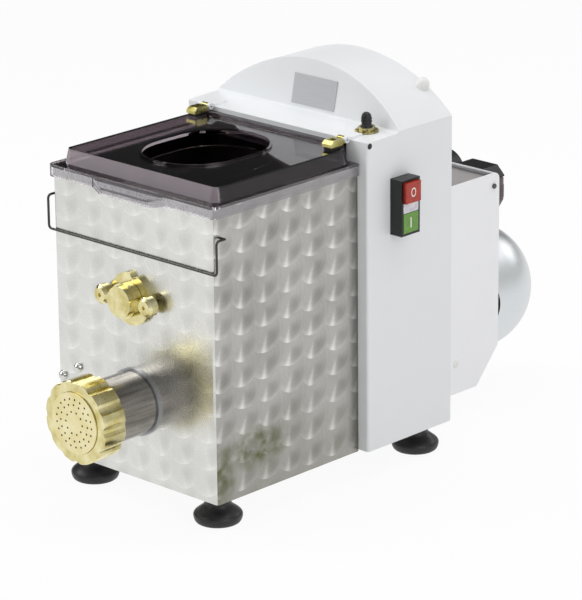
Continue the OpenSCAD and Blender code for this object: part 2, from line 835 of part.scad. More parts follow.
module foot_front_left() { foot(0); }
module foot_front_right() { foot(1); }
module foot_rear_left() { foot(2); }
module foot_rear_right() { foot(3); }

module foot_bolts() {
    place() color("gray") each_foot() {
        translate([0, 0, over]) cylinder(r = foot_head_r, h = foot_head_t, $fn = 6);
        translate([0, 0, over]) cylinder(r = foot_bolt_r, h = base_top + foot_head_t);
        translate([0, 0, base_top]) cylinder(r = foot_head_r, h = foot_head_t, $fn = 6);
    }
}

// ---- Steel box ----

module steel_casing() {
    place() color([0.8, 0.8, 0.77]) difference() {
        union() {
            difference() {
                along_z(box_z, rim_z) front_round(box_half, 0, box_d, bend_r);
                along_z(box_z - over, rim_z + over)
                    front_round(box_half - sheet_t, sheet_t, box_d + over, bend_r - sheet_t);
            }
            difference() {
                along_z(box_z, box_z + sheet_t)
                    front_round(box_half - sheet_t / 2, sheet_t / 2, box_d, bend_r);
                along_z(box_z - over, box_z + sheet_t + over)
                    front_round(box_half - hem_w, hem_w, box_d + over, bend_r);
            }
        }
        rod_y(tube_r + seat_fit, -over, sheet_t + over, 0, extruder_z);
        rod_y(spigot_r + seat_fit, -over, sheet_t + over, 0, mixer_z);
        each_panel_screw() rod_y(dome_shank_r + seat_fit, -over, sheet_t + over);
        rod_x(wire_r + run_fit, -box_half - over, box_half + over, bail_y, bail_z);
    }
}

module each_panel_screw() {
    translate([-screw_far_x, 0, extruder_z + screw_far_z]) children();
    translate([-screw_near_x, 0, extruder_z + screw_near_z]) children();
}

module panel_screws() {
    place() color("white") each_panel_screw() {
        rod_y(dome_shank_r, 0, dome_shank_l);
        intersection() {
            sphere(r = dome_head_r);
            block(-dome_head_r, dome_head_r, -dome_head_r, 0, -dome_head_r, dome_head_r);
        }
    }
}

// ---- Mixing tank ----

// Cross section of the trough, larger than its inside by t
module tank_section(t) {
    half = tank_half + t;
    low = trough_r + t;
    polygon([[-half, rim_z], [half, rim_z], [half, mixer_z + shoulder_h],
        [low, mixer_z], [-low, mixer_z], [-half, mixer_z + shoulder_h]]);
    translate([0, mixer_z]) circle(low, $fn = 96);
}

module mixing_tank() {
    y0 = tank_gap;
    y1 = box_d - tank_back_gap;
    rim_half = box_half - sheet_t - seat_fit;
    neck_half = outlet_half + tank_t;
    neck_z = extruder_z + neck_above_axis;
    place() color([0.75, 0.76, 0.77]) difference() {
        union() {
            along_y(y0, y1) tank_section(tank_t);
            block(-rim_half, rim_half, y0, y1, rim_z - tank_t, rim_z);
            block(-neck_half, neck_half, outlet_y0 - tank_t, outlet_y1 + tank_t,
                neck_z, mixer_z - trough_r);
        }
        translate([0, 0, over]) along_y(y0 + tank_t, y1 - tank_t) tank_section(0);
        along_y(y0 + tank_t, y1 - tank_t) tank_section(0);
        block(-outlet_half, outlet_half, outlet_y0, outlet_y1, neck_z - over, mixer_z);
        rod_y(seal_r + run_fit, y0 - over, y1 + over, 0, mixer_z);
        rod_y(barrel_r, outlet_y0 - tank_t - over, outlet_y1 + tank_t + over, 0, extruder_z);
    }
}

module tank_seals() {
    y0 = tank_gap;
    y1 = box_d - tank_back_gap;
    place() color([0.15, 0.15, 0.15]) {
        ring_y(seal_r, shaft_r + run_fit, y0, y0 + seal_w, 0, mixer_z);
        ring_y(seal_r, shaft_r + run_fit, y1 - seal_w, y1, 0, mixer_z);
    }
}

// ---- Extruder ----

module extruder_tube() {
    y1 = box_d;
    feed_half = outlet_half + tank_t + slide_fit;
    place() color([0.8, 0.8, 0.8]) difference() {
        union() {
            rod_y(tube_r, -tube_out, y1, 0, extruder_z);
            rod_y(head_r, head_y0, -tube_out, 0, extruder_z);
        }
        rod_y(barrel_r, head_y0 - over, y1 - tube_back_t, 0, extruder_z);
        rod_y(auger_shaft_r + run_fit, y1 - tube_back_t - over, y1 + over, 0, extruder_z);
        block(-feed_half, feed_half, outlet_y0 - tank_t - slide_fit, outlet_y1 + tank_t + slide_fit,
            extruder_z, extruder_z + tube_r + over);
    }
}

module tube_ring() {
    place() color("white") ring_y(tube_ring_r, tube_r + run_fit, -tube_ring_t, 0, 0, extruder_z);
}

// A shaft with a screw flight that pushes the dough to the die
module auger() {
    y0 = head_y0 + auger_tip_gap;
    y1 = box_d - tube_back_t - slide_fit;
    run = y1 - y0;
    turns = run / auger_pitch;
    place() color([0.7, 0.7, 0.7]) translate([0, 0, extruder_z]) {
        translate([0, y1, 0]) rotate([90, 0, 0])
            linear_extrude(height = run, twist = 360 * turns, slices = round(20 * turns), $fn = 14)
                polygon(concat(arc(0, 0, auger_r, 0, flight_angle, 6),
                    arc(0, 0, auger_core_r - over, flight_angle, 0, 3)));
        rod_y(auger_core_r, y0 - over, y1);
        translate([0, y0 - over, 0]) rotate([90, 0, 0])
            cylinder(r1 = auger_core_r, r2 = auger_core_r / 2, h = auger_tip_l);
        rod_y(auger_shaft_r, y1 - over, pair_y + pair_w + over);
    }
}

// ---- Die and ring nut ----

module hole_ring(r, n) {
    for (i = [0:n - 1]) rotate([0, 360 * i / n, 0]) translate([r, 0, 0])
        rod_y(pasta_hole_r, die_face_y - over, head_y0 + over, $fn = 24);
}

module die() {
    place() color([0.87, 0.78, 0.5]) translate([0, 0, extruder_z]) difference() {
        union() {
            rod_y(die_r, die_rim_y, head_y0);
            rod_y(die_face_r, die_face_y, die_rim_y);
        }
        hole_ring(ring_1_r, ring_1_n);
        hole_ring(ring_2_r, ring_2_n);
        hole_ring(ring_3_r, ring_3_n);
    }
}

module ring_nut() {
    cut_at = nut_r + nut_cut_r - nut_cut_depth;
    bevel = 1;
    place() color([0.85, 0.72, 0.38]) translate([0, 0, extruder_z]) difference() {
        union() {
            rod_y(nut_r, nut_y0 + bevel, nut_y1 - bevel);
            translate([0, nut_y0 + bevel, 0]) rotate([90, 0, 0])
                cylinder(r1 = nut_r, r2 = nut_r - bevel, h = bevel);
            translate([0, nut_y1 - bevel, 0]) rotate([-90, 0, 0])
                cylinder(r1 = nut_r, r2 = nut_r - bevel, h = bevel);
        }
        for (i = [0:nut_lobes - 1]) rotate([0, 360 * i / nut_lobes, 0])
            rod_y(nut_cut_r, nut_y0 - over, nut_y1 + over, cut_at);
        rod_y(die_face_r + slide_fit, nut_y0 - over, nut_y1);
        rod_y(head_r + slide_fit, die_rim_y - slide_fit, nut_y1 + over);
    }
}

// ---- Front bearing and wing nut ----

module front_bearing() {
    place() color([0.85, 0.72, 0.38]) translate([0, 0, mixer_z]) difference() {
        union() {
            rod_y(hub_r, -hub_t, 0);
            rod_y(bush_r, -hub_t - bush_l, -hub_t);
            rod_y(spigot_r, 0, tank_gap);
        }
        rod_y(shaft_r + run_fit, -hub_t - bush_l - over, tank_gap + over);
        rotate([0, hub_notch_turn, 0]) rod_y(hub_notch_r, -hub_t - over, over, 0, hub_r);
    }
}

module nut_washer() {
    y1 = -hub_t - seat_fit;
    place() color([0.9, 0.9, 0.85])
        ring_y(washer_r, bush_r + slide_fit, y1 - washer_t, y1, 0, mixer_z);
}

// A cap nut with two round-faced wings
module wing_nut() {
    y1 = -hub_t - slide_fit;
    y0 = y1 - wing_body_l;
    arm_y = (y0 + y1) / 2;
    place() color([0.87, 0.76, 0.42]) translate([0, 0, mixer_z]) difference() {
        union() {
            rod_y(wing_body_r, y0, y1);
            rod_y(wing_boss_r, y0 - wing_boss_l, y0 + over);
            block(-wing_reach, wing_reach, arm_y - wing_arm_t / 2, arm_y + wing_arm_t / 2,
                -wing_arm_h / 2, wing_arm_h / 2);
            for (x = [-wing_reach, wing_reach]) {
                rod_y(wing_knob_r, y1 - wing_knob_l, y1 - over, x);
                translate([x, y1 - wing_knob_l, 0]) rotate([90, 0, 0])
                    cylinder(r1 = wing_knob_r, r2 = wing_knob_r * 0.7, h = wing_knob_dome);
            }
        }
        rod_y(bush_r + slide_fit, -hub_t - bush_l - slide_fit, y1 + over);
        rod_y(washer_r + slide_fit, -hub_t - seat_fit - washer_t - slide_fit, y1 + over);
        for (x = [-wing_reach, wing_reach])
            rod_y(dimple_r, y1 - wing_knob_l - wing_knob_dome - over, y1 - wing_knob_l, x);
    }
}

// ---- Mixer ----

module mixer_shaft() {
    y0 = -hub_t - bush_l + shaft_recess;
    place() color([0.72, 0.72, 0.73]) translate([0, 0, mixer_z]) difference() {
        rod_y(shaft_r, y0, box_d + casing_t);
        block(-dog_w / 2 - run_fit, dog_w / 2 + run_fit, box_d + casing_t - dog_l - run_fit,
            box_d + casing_t + over, -shaft_r - over, shaft_r + over);
    }
}

module mixer_paddles() {
    reach = trough_r - paddle_gap;
    step = (sleeve_y1 - sleeve_y0) / paddle_n;
    place() color([0.72, 0.72, 0.73]) translate([0, 0, mixer_z]) difference() {
        union() {
            rod_y(sleeve_r, sleeve_y0, sleeve_y1);
            for (i = [0:paddle_n - 1]) rotate([0, 90 * i, 0])
                translate([0, sleeve_y0 + step * (i + 0.5), 0]) {
                    rod_x(paddle_arm_r, 0, reach - blade_h / 2, 0, 0);
                    rotate([25, 0, 0]) block(reach - blade_h, reach - 2, -blade_l / 2, blade_l / 2,
                        -blade_t / 2, blade_t / 2);
                }
        }
        rod_y(shaft_r + run_fit, sleeve_y0 - over, sleeve_y1 + over);
    }
}

// ---- Lid ----

// A raised part with leaning walls: a prism each way, and a cone in each corner
module dome_shape(w, d, h, r) {
    x = w / 2;
    y = d / 2;
    in = dome_lean;
    along_x(-x + r, x - r) polygon([[-y, 0], [y, 0], [y - in, h], [-y + in, h]]);
    along_y(-y + r, y - r) polygon([[-x, 0], [x, 0], [x - in, h], [-x + in, h]]);
    for (i = [-1, 1], j = [-1, 1]) translate([i * (x - r), j * (y - r), 0])
        cylinder(r1 = r, r2 = r - in, h = h);
}

module oval(r) {
    translate([0, -oval_run / 2]) circle(r);
    translate([0, oval_run / 2]) circle(r);
    square([2 * r, oval_run], center = true);
}

module lid() {
    dome_w = 2 * (skirt_out - dome_inset);
    dome_y0 = skirt_y + dome_front_inset;
    dome_y1 = lid_back - lid_t;
    dome_d = dome_y1 - dome_y0;
    dome_y = (dome_y0 + dome_y1) / 2;
    skirt_z = lid_top_z - skirt_h;
    tab_z = lid_top_z - tab_drop;
    place() color([0.25, 0.22, 0.2, 0.6]) {
        difference() {
            union() {
                along_z(skirt_z, lid_top_z) front_round(skirt_out, skirt_y, lid_back, bend_r + lid_t);
                translate([0, dome_y, lid_top_z - 0.01]) dome_shape(dome_w, dome_d, dome_h, dome_corner_r);
                block(-dome_w / 2 + dome_corner_r, dome_w / 2 - dome_corner_r, pad_y1, lid_back,
                    lid_top_z - over, min(dome_top_z + pad_t, hinge_z - knuckle_r) - upstand_gap);
                along_y(skirt_y, -skirt_gap) polygon([[-tab_half, skirt_z + 0.5],
                    [-tab_half + 8, skirt_z - skirt_dip], [tab_half - 20, skirt_z - skirt_dip],
                    [tab_half, skirt_z + 0.5]]);
                translate([0, dome_y, dome_top_z - 0.01]) linear_extrude(height = lip_h) oval(oval_r + collar_t);
                finger_tab(tab_z);
            }
            along_z(skirt_z - over, lid_plate_z)
                front_round(skirt_in, -skirt_gap, lid_back + over, bend_r + skirt_gap);
            translate([0, dome_y, lid_plate_z - 0.02])
                dome_shape(dome_w - 2 * lid_t, dome_d - 2 * lid_t, dome_h, dome_corner_r - lid_t);
            translate([0, dome_y, lid_plate_z - over])
                linear_extrude(height = dome_h + lid_t + lip_h + 2 * over) oval(oval_r);
            block(-tab_half - slit_w, -tab_half, skirt_y - over, -skirt_gap + over, skirt_z - over, tab_z);
        }
        translate([0, dome_y, dome_top_z - collar_depth]) linear_extrude(height = collar_depth) difference() {
            oval(oval_r + collar_t);
            oval(oval_r);
        }
    }
}

module finger_tab(z) {
    intersection() {
        along_x(-tab_half, tab_half) polygon([[skirt_y + 0.5, z], [skirt_y - tab_out, z - tab_fall],
            [skirt_y - tab_out, z - tab_fall - tab_t], [skirt_y + 0.5, z - tab_t]]);
        along_z(z - tab_fall - tab_t - over, z + over) polygon([[-tab_half, skirt_y + over],
            [tab_half, skirt_y + over], [tab_half, skirt_y], [tab_lip_half, skirt_y - tab_out],
            [-tab_lip_half, skirt_y - tab_out], [-tab_half, skirt_y]]);
    }
}

// ---- Lid hinges ----

module lid_straps() {
    z0 = dome_top_z + pad_t;
    z1 = z0 + strap_t;
    y1 = hinge_y - knuckle_r - 1.5;
    y0 = y1 - strap_l;
    slot_w = strap_w / 2;
    place() color([0.8, 0.7, 0.35]) both_sides() translate([hinge_x, 0, 0]) difference() {
        union() {
            along_x(-strap_w / 2, strap_w / 2) polygon([[y0, z0], [y1, z0], [y1, z1],
                [y0 + strap_bevel, z1], [y0, z0 + strap_t / 2]]);
            block(-knuckle_w / 2, knuckle_w / 2, y1 - over, hinge_y, z0, max(z1, hinge_z));
            rod_x(knuckle_r, -knuckle_w / 2, knuckle_w / 2, hinge_y, hinge_z);
        }
        rod_x(hinge_pin_r + run_fit, -strap_w, strap_w, hinge_y, hinge_z);
        block(-slot_w / 2, slot_w / 2, y0 + strap_l / 3, y1 - strap_l / 4, z1 - strap_t / 4, z1 + over);
    }
}

module strap_pads() {
    y1 = hinge_y - knuckle_r - 1.5;
    place() color([0.1, 0.1, 0.1]) both_sides()
        block(hinge_x - strap_w / 2 + 1, hinge_x + strap_w / 2 - 1, y1 - strap_l + 2,
            pad_y1, dome_top_z, dome_top_z + pad_t);
}

module hinge_leaves() {
    half = strap_w / 2 + 1.5;
    gap = knuckle_w / 2 + slide_fit;
    y1 = toggle_y - toggle_flange_r - leaf_toggle_gap;
    y0 = hinge_y + knuckle_r + 1;
    place() color([0.8, 0.7, 0.35]) both_sides() translate([hinge_x, 0, 0]) difference() {
        union() {
            along_x(-half, half) polygon([[y0, ledge_at(y0)], [y1, ledge_at(y1)],
                [y1, ledge_at(y1) + leaf_t], [y0, ledge_at(y0) + leaf_t]]);
            for (x = [-half, gap]) {
                along_x(x, x + half - gap) polygon([[hinge_y, ledge_at(y0)],
                    [y0 + over, ledge_at(y0 + over)], [y0 + over, ledge_at(y0 + over) + leaf_t],
                    [hinge_y, hinge_z + knuckle_r]]);
                rod_x(knuckle_r, x, x + half - gap, hinge_y, hinge_z);
            }
        }
        rod_x(hinge_pin_r + run_fit / 2, -strap_w, strap_w, hinge_y, hinge_z);
    }
}

module hinge_pins() {
    half = strap_w / 2 + 1.5;
    place() color("silver") both_sides()
        rod_x(hinge_pin_r, hinge_x - half, hinge_x + half, hinge_y, hinge_z);
}

// ---- Wire bail ----

// A quarter bend in the wire: it starts at the origin along -Z and leaves along X
module wire_bend() {
    translate([bail_bend_r, 0, 0]) rotate([90, 0, 0]) rotate([0, 0, 180]) rotate_extrude(angle = 90)
        translate([bail_bend_r, 0]) circle(wire_r, $fn = 24);
}

module wire_bail() {
    r = bail_bend_r;
    top_z = bail_z;
    pin_x = box_half - sheet_t - bail_pin_in;
    place() color([0.75, 0.75, 0.75]) {
        rod_x(wire_r, -bail_x + r, bail_x - r, bail_bar_y, bail_bar_z);
        both_sides() {
            translate([-bail_x, bail_bar_y, bail_bar_z + r]) wire_bend();
            translate([-bail_x, bail_bar_y, bail_bar_z + r]) cylinder(r = wire_r, h = top_z - bail_bar_z - 2 * r);
            translate([-bail_x, bail_bar_y, top_z - r]) rotate([0, 0, 90]) mirror([0, 0, 1]) wire_bend();
            rod_y(wire_r, bail_bar_y + r, bail_y, -bail_x, top_z);
            translate([-bail_x, bail_y, top_z]) sphere(r = wire_r);
            rod_x(wire_r, -bail_x, -pin_x, bail_y, top_z);
        }
    }
}

// ---- Gear casing ----

// Side view of the casing, smaller than its outside by t
module casing_side(t, y_end) {
    foot_y = box_d + ledge_d;
    foot_z = ledge_at(foot_y);
    lean = arch_lean / (arch_top_z - foot_z);
    r = arch_foot_r + t;
    cy = foot_y - arch_foot_r;
    cz = ledge_at(cy) + arch_foot_r / cos(ledge_tilt);
    polygon(concat(
        [[box_d + t, casing_z - 2 * t], [box_d + t, ledge_z - t]],
        arc(cy, cz, r, -90 + ledge_tilt, 0, 6),
        [[foot_y + t + arch_lean + lean * 20, arch_top_z + 20], [y_end, arch_top_z + 20],
         [y_end, casing_z - 2 * t]]));
}

// Front view of the casing, smaller than its outside by t
module casing_front(t) {
    half = casing_half - t;
    intersection() {
        translate([-half, casing_z - 2 * t]) square([2 * half, arch_top_z]);
        union() {
            translate([0, arch_centre_z]) circle(arch_r - t, $fn = 180);
            translate([-half, casing_z - 2 * t]) square([2 * half, ledge_z - casing_z]);
        }
    }
}

module gear_casing() {
    neck = box_half - sheet_t;
    place() color([0.92, 0.93, 0.94]) difference() {
        intersection() {
            along_x(-casing_half, casing_half) casing_side(0, seam_y);
            along_y(box_d - over, seam_y + over) casing_front(0);
            along_z(0, arch_top_z + over) front_round(casing_half, box_d, seam_y + over, casing_edge_r);
        }
        intersection() {
            along_x(-casing_half, casing_half) casing_side(casing_t, seam_y + over);
            along_y(box_d, seam_y + over) casing_front(casing_t);
        }
        rod_y(seal_r, box_d - over, box_d + casing_t + over, 0, mixer_z);
        rod_y(auger_shaft_r + over, box_d - over, box_d + casing_t + over, 0, extruder_z);
        block(-neck, neck, box_d - over, box_d + casing_t + over, casing_z - over, base_top + slide_fit);
        block(casing_half - casing_t - over, casing_half + over,
            box_d + switch_back + switch_rim, box_d + switch_back + switch_w - switch_rim,
            switch_z + switch_rim, switch_z + switch_h - switch_rim);
        on_ledge() translate([0, 0, -2 * casing_t]) cylinder(r = boot_ball_r + slide_fit, h = 4 * casing_t);
    }
}

module rear_cover() {
    bevel = casing_edge_r;
    y1 = casing_back;
    place() color([0.9, 0.91, 0.92]) difference() {
        union() {
            along_y(seam_y, y1 - bevel) casing_front(0);
            along_y(seam_y, y1) casing_front(bevel / 2);
        }
        along_y(seam_y - over, y1 - casing_t) casing_front(casing_t);
        rod_y(bearing_r + over, seam_y, y1 + over, 0, extruder_z);
        block(-casing_half, casing_half, seam_y - over, y1 + over, 0, casing_z);
    }
}

module round_plug() {
    a = asin(plug_x / arch_r);
    y = seam_y + cover_d / 2;
    place() color([0.95, 0.95, 0.95]) translate([0, y, arch_centre_z]) rotate([0, a, 0])
        translate([0, 0, arch_r]) {
            cylinder(r = plug_r, h = plug_rim_h);
            translate([0, 0, plug_rim_h]) intersection() {
                sphere(r = plug_r - 0.5);
                translate([0, 0, plug_r]) cube(2 * plug_r, center = true);
            }
        }
}

// ---- Gear plates and posts ----

plate_half = casing_half - casing_t - plate_side_gap;
plate_top = ledge_z - casing_t - plate_top_gap;

module gear_plate(y, motor_hole) {
    place() color([0.6, 0.62, 0.64]) difference() {
        block(-plate_half, plate_half, y, y + plate_t, base_top, plate_top);
        rod_y(bearing_r, y - over, y + plate_t + over, 0, mixer_z);
        rod_y(motor_hole, y - over, y + plate_t + over, 0, extruder_z);
        rod_y(bearing_r, y - over, y + plate_t + over, counter_x, counter_z);
    }
}

module gear_plate_front() { gear_plate(plate_y0, bearing_r); }
module gear_plate_rear() { gear_plate(plate_y1 - plate_t, bearing_r); }

module gear_posts() {
    place() color([0.55, 0.56, 0.58])
        for (x = [-1, 1], z = [base_top + post_inset, plate_top - post_inset])
            rod_y(post_r, plate_y0 + plate_t, plate_y1 - plate_t, x * post_x, z);
}

module shaft_bearings() {
    back = plate_y1 - plate_t;
    place() color([0.7, 0.71, 0.73]) {
        for (y = [plate_y0, back]) {
            ring_y(bearing_r, shaft_r + run_fit, y, y + plate_t, 0, mixer_z);
            ring_y(bearing_r, counter_shaft_r + run_fit, y, y + plate_t, counter_x, counter_z);
        }
        ring_y(bearing_r, auger_shaft_r + run_fit, plate_y0, plate_y0 + plate_t, 0, extruder_z);
    }
}

// ---- Shafts and gears ----

wheel_dir = atan2(counter_z - mixer_z, counter_x);
motor_dir = atan2(extruder_z - counter_z, -counter_x);
pinion_turn = mesh_turn(wheel_dir, 0, wheel_teeth, pinion_teeth);

module drive_shaft() {
    y0 = box_d + casing_t;
    place() color([0.65, 0.66, 0.68]) translate([0, 0, mixer_z]) {
        rod_y(shaft_r, y0, plate_y1 + over);
        intersection() {
            rod_y(shaft_r - run_fit, y0 - dog_l, y0 + over);
            block(-dog_w / 2, dog_w / 2, y0 - dog_l, y0 + over, -shaft_r, shaft_r);
        }
    }
}

module mixer_gear() {
    place() color([0.6, 0.6, 0.62])
        spur_gear(mixer_teeth, pair_module, 0, shaft_r, pair_y, pair_w, 0, mixer_z, 20, 8);
}

module auger_gear() {
    place() color([0.6, 0.6, 0.62])
        spur_gear(auger_teeth, pair_module, mesh_turn(-90, 0, mixer_teeth, auger_teeth),
            auger_shaft_r, pair_y, pair_w, 0, extruder_z, 18, 8);
}

module main_wheel() {
    place() color([0.6, 0.6, 0.62])
        spur_gear(wheel_teeth, wheel_module, 0, shaft_r, wheel_y, wheel_w, 0, mixer_z, 22, 8);
}

module counter_shaft() {
    place() color([0.62, 0.62, 0.64]) translate([counter_x, 0, counter_z]) {
        rod_y(counter_shaft_r, plate_y0, plate_y1);
        along_y(wheel_y - 1, wheel_y + wheel_w + 1) gear_outline(pinion_teeth, wheel_module, pinion_turn);
    }
}

module counter_gear() {
    place() color([0.6, 0.6, 0.62])
        spur_gear(counter_teeth, motor_module, pinion_turn, counter_shaft_r, counter_y, counter_w,
            counter_x, counter_z, 16, 6);
}

// ---- Motor ----

module motor_body() {
    place() color([0.45, 0.47, 0.5]) translate([0, 0, extruder_z]) difference() {
        union() {
            rod_y(motor_r, stator_y, back_shield_y);
            for (i = [0:fin_n - 1]) rotate([0, 360 * (i + 0.5) / fin_n, 0])
                block(motor_r - 1, motor_r + fin_h, stator_y + 4, back_shield_y - 4, -fin_w / 2, fin_w / 2);
        }
        rod_y(stator_bore_r, stator_y - over, back_shield_y + over);
    }
}

module motor_shields() {
    place() color([0.5, 0.52, 0.55]) translate([0, 0, extruder_z]) {
        ring_y(motor_r + fin_h, motor_shaft_r + run_fit, shield_y, stator_y);
        ring_y(cowl_r - cowl_t - run_fit, motor_shaft_r + run_fit, back_shield_y,
            back_shield_y + shield_back_t);
    }
}

module motor_shaft() {
    place() color([0.65, 0.66, 0.68]) translate([0, 0, extruder_z]) {
        rod_y(motor_shaft_r, counter_y - 2, back_shield_y + shield_back_t + shaft_tail);
        along_y(counter_y - 2, counter_y + counter_w + 2)
            gear_outline(motor_teeth, motor_module,
                mesh_turn(motor_dir, pinion_turn, counter_teeth, motor_teeth));
    }
}

module rotor() {
    place() color([0.55, 0.5, 0.45])
        ring_y(stator_bore_r - air_gap, motor_shaft_r + run_fit / 2, stator_y + rotor_end_gap,
            back_shield_y - rotor_end_gap, 0, extruder_z);
}

module cooling_fan() {
    place() color([0.15, 0.15, 0.16]) translate([0, 0, extruder_z]) difference() {
        union() {
            rod_y(fan_hub_r, fan_y, fan_y + fan_w);
            rod_y(fan_r - 6, fan_y, fan_y + 2);
            for (i = [0:fan_blades - 1]) rotate([0, 360 * i / fan_blades, 0])
                block(fan_hub_r - 1, fan_r, fan_y, fan_y + fan_w, -fan_blade_t / 2, fan_blade_t / 2);
        }
        rod_y(motor_shaft_r + run_fit / 2, fan_y - over, fan_y + fan_w + over);
    }
}

module dome_solid(r, y0) {
    rod_y(r, y0, cowl_centre_y, $fn = 128);
    intersection() {
        translate([0, cowl_centre_y, 0]) rotate([90, 0, 0]) sphere(r = r, $fn = 128);
        rod_y(r + over, cowl_centre_y - over, cowl_centre_y + r + over);
    }
}

module fan_cowl() {
    slot_r = (slot_h * slot_h / 4 + slot_w * slot_w) / (2 * slot_w);
    slot_y = cowl_y0 + slot_back;
    place() color([0.75, 0.76, 0.77]) translate([0, 0, extruder_z]) difference() {
        dome_solid(cowl_r, cowl_y0);
        dome_solid(cowl_r - cowl_t, cowl_y0 - over);
        intersection() {
            rod_x(slot_r, 0, cowl_r + over, slot_y + slot_w - slot_r, 0);
            block(0, cowl_r + over, slot_y, slot_y + 2 * slot_w, -slot_h, slot_h);
        }
    }
}

// ---- Motor cover ----

// Side view of the motor cover, smaller than its outside by t
module mcover_side(t, y0) {
    back = mcover_back - t;
    top = mcover_top - t;
    r = mcover_edge_r - t;
    polygon(concat(
        [[y0, box_z + t], [mcover_back - chamfer_run - t / 2, box_z + t], [back, box_z + chamfer_h + t / 2]],
        arc(back - r, top - r, r, 0, 90, 6),
        [[y0, top]]));
}

module motor_cover() {
    hole_r = cowl_r + cowl_gap;
    in = mcover_half - mcover_t;
    place() color([0.93, 0.93, 0.94]) difference() {
        along_x(-mcover_half, mcover_half) mcover_side(0, casing_back);
        along_x(-in, in) mcover_side(mcover_t, casing_back - over);
        rod_y(hole_r, casing_back + over, mcover_back + over, 0, extruder_z);
        block(-in, in, casing_back - over, mcover_back - mcover_edge_r, mcover_top - 2 * mcover_t, mcover_top + over);
        both_sides() rod_x(cover_shank_r + seat_fit, in - over, mcover_half + over,
            mcover_back - cover_screw_back, mcover_top - cover_screw_drop);
    }
}

module top_panel() {
    in = mcover_half - mcover_t - seat_fit;
    z1 = mcover_top - top_panel_recess;
    place() color([0.6, 0.6, 0.6]) intersection() {
        block(-in, in, casing_back + seat_fit, mcover_back, z1 - top_panel_t, z1);
        along_x(-in - over, in + over) mcover_side(mcover_t + seat_fit, casing_back);
    }
}

module cover_screws() {
    y = mcover_back - cover_screw_back;
    z = mcover_top - cover_screw_drop;
    place() color("silver") both_sides() {
        rod_x(cover_shank_r, mcover_half - cover_shank_l, mcover_half, y, z);
        rod_x(cover_head_r, mcover_half, mcover_half + cover_head_t, y, z);
    }
}

// ---- Terminal box and capacitor ----

tbox_z1 = mcover_top - tbox_drop;
gland_z1 = tbox_z1 - tbox_arm_h;
gland_x = tbox_x1 - gland_in;
gland_y = mcover_back + tbox_d / 2;

// Front view of the terminal box and its arm, smaller than the outside by t
module tbox_front(t) {
    x = tbox_x0 + t;
    difference() {
        union() {
            translate([x, tbox_z1 - tbox_h + t]) square([gland_x - gland_r - over - t - x, tbox_h - 2 * t]);
            translate([x, gland_z1 + t]) square([tbox_x1 - t - x, tbox_arm_h - 2 * t]);
        }
        for (corner = [tbox_x0, tbox_x1]) translate([corner, tbox_z1]) rotate(45)
            square(sqrt(2) * tbox_bevel + 2 * t, center = true);
    }
}

module terminal_box() {
    y1 = mcover_back + tbox_d;
    place() color([0.1, 0.1, 0.11]) difference() {
        along_y(mcover_back, y1) tbox_front(0);
        along_y(mcover_back + tbox_t, y1 - tbox_t) tbox_front(tbox_t);
        translate([gland_x, gland_y, gland_z1 - over])
            cylinder(r = gland_bore_r, h = tbox_t + 1.5 * over);
    }
}

// A gland with rings around it and a tapered end, which hangs from the arm
module cable_gland() {
    place() color([0.4, 0.37, 0.37]) translate([gland_x, gland_y, gland_z1 - gland_l]) difference() {
        union() {
            cylinder(r1 = gland_r * 0.6, r2 = gland_r, h = gland_taper);
            translate([0, 0, gland_taper]) cylinder(r = gland_r, h = gland_l - gland_taper);
            for (i = [1:gland_ribs]) translate([0, 0, gland_taper + gland_pitch * i])
                cylinder(r = gland_r + gland_pitch / 6, h = gland_pitch / 2);
        }
        translate([0, 0, -over]) cylinder(r = gland_bore_r, h = gland_l + 2 * over);
    }
}

module capacitor() {
    x = tbox_x0 - cap_gap - cap_r;
    z = mcover_top - cap_drop;
    place() color([0.08, 0.08, 0.09]) {
        rod_y(cap_r, mcover_back, mcover_back + cap_l - 2, x, z);
        rod_y(cap_r - 2, mcover_back + cap_l - 3, mcover_back + cap_l, x, z);
    }
}

// ---- Push-button switch ----

switch_y0 = box_d + switch_back;
switch_y1 = switch_y0 + switch_w;
switch_face = casing_half + switch_out;
stop_z1 = switch_z + switch_h - switch_rim;
stop_z0 = stop_z1 - stop_h;
lens_z0 = stop_z0 - lens_h;
start_z0 = switch_z + switch_rim;

module switch_body() {
    x0 = casing_half;
    place() color([0.07, 0.07, 0.07]) difference() {
        block(x0, switch_face, switch_y0, switch_y1, switch_z, switch_z + switch_h);
        block(x0 - over, switch_face + over, switch_y0 + switch_rim, switch_y1 - switch_rim,
            start_z0, stop_z1);
    }
}

module switch_piece(z0, z1, out, depth, hue) {
    g = button_gap;
    x1 = switch_face + out;
    place() color(hue) block(x1 - out - depth, x1, switch_y0 + switch_rim + g, switch_y1 - switch_rim - g,
        z0 + g, z1 - g);
}

module stop_button() { switch_piece(stop_z0, stop_z1, stop_out, button_in, [0.75, 0.12, 0.08]); }
module pilot_lens() { switch_piece(lens_z0, stop_z0, start_out, button_in + 3, [0.9, 0.9, 0.88]); }
module start_button() { switch_piece(start_z0, lens_z0, start_out, button_in, [0.35, 0.6, 0.25]); }

module contact_blocks() {
    g = slide_fit;
    x1 = switch_face - button_in - button_travel - slide_fit;
    top = min(-casing_t / cos(ledge_tilt), toggle_pin_h - boot_ball_r) - seat_fit;
    place() color([0.3, 0.3, 0.32]) {
        block(casing_half - casing_t - block_d, x1, switch_y0 + switch_rim + g, switch_y1 - switch_rim - g,
            start_z0 + g, stop_z1 - g);
        on_ledge() translate([0, 0, top - toggle_body_h / 2])
            cube([toggle_body_w, toggle_body_w - 4, toggle_body_h], center = true);
    }
}

// ---- Toggle switch ----

module on_ledge() {
    translate([toggle_x, toggle_y, ledge_at(toggle_y)]) rotate([ledge_tilt, 0, 0]) children();
}

module toggle_pin(r, half) {
    rod_x(r, -half, half, 0, toggle_pin_h);
}

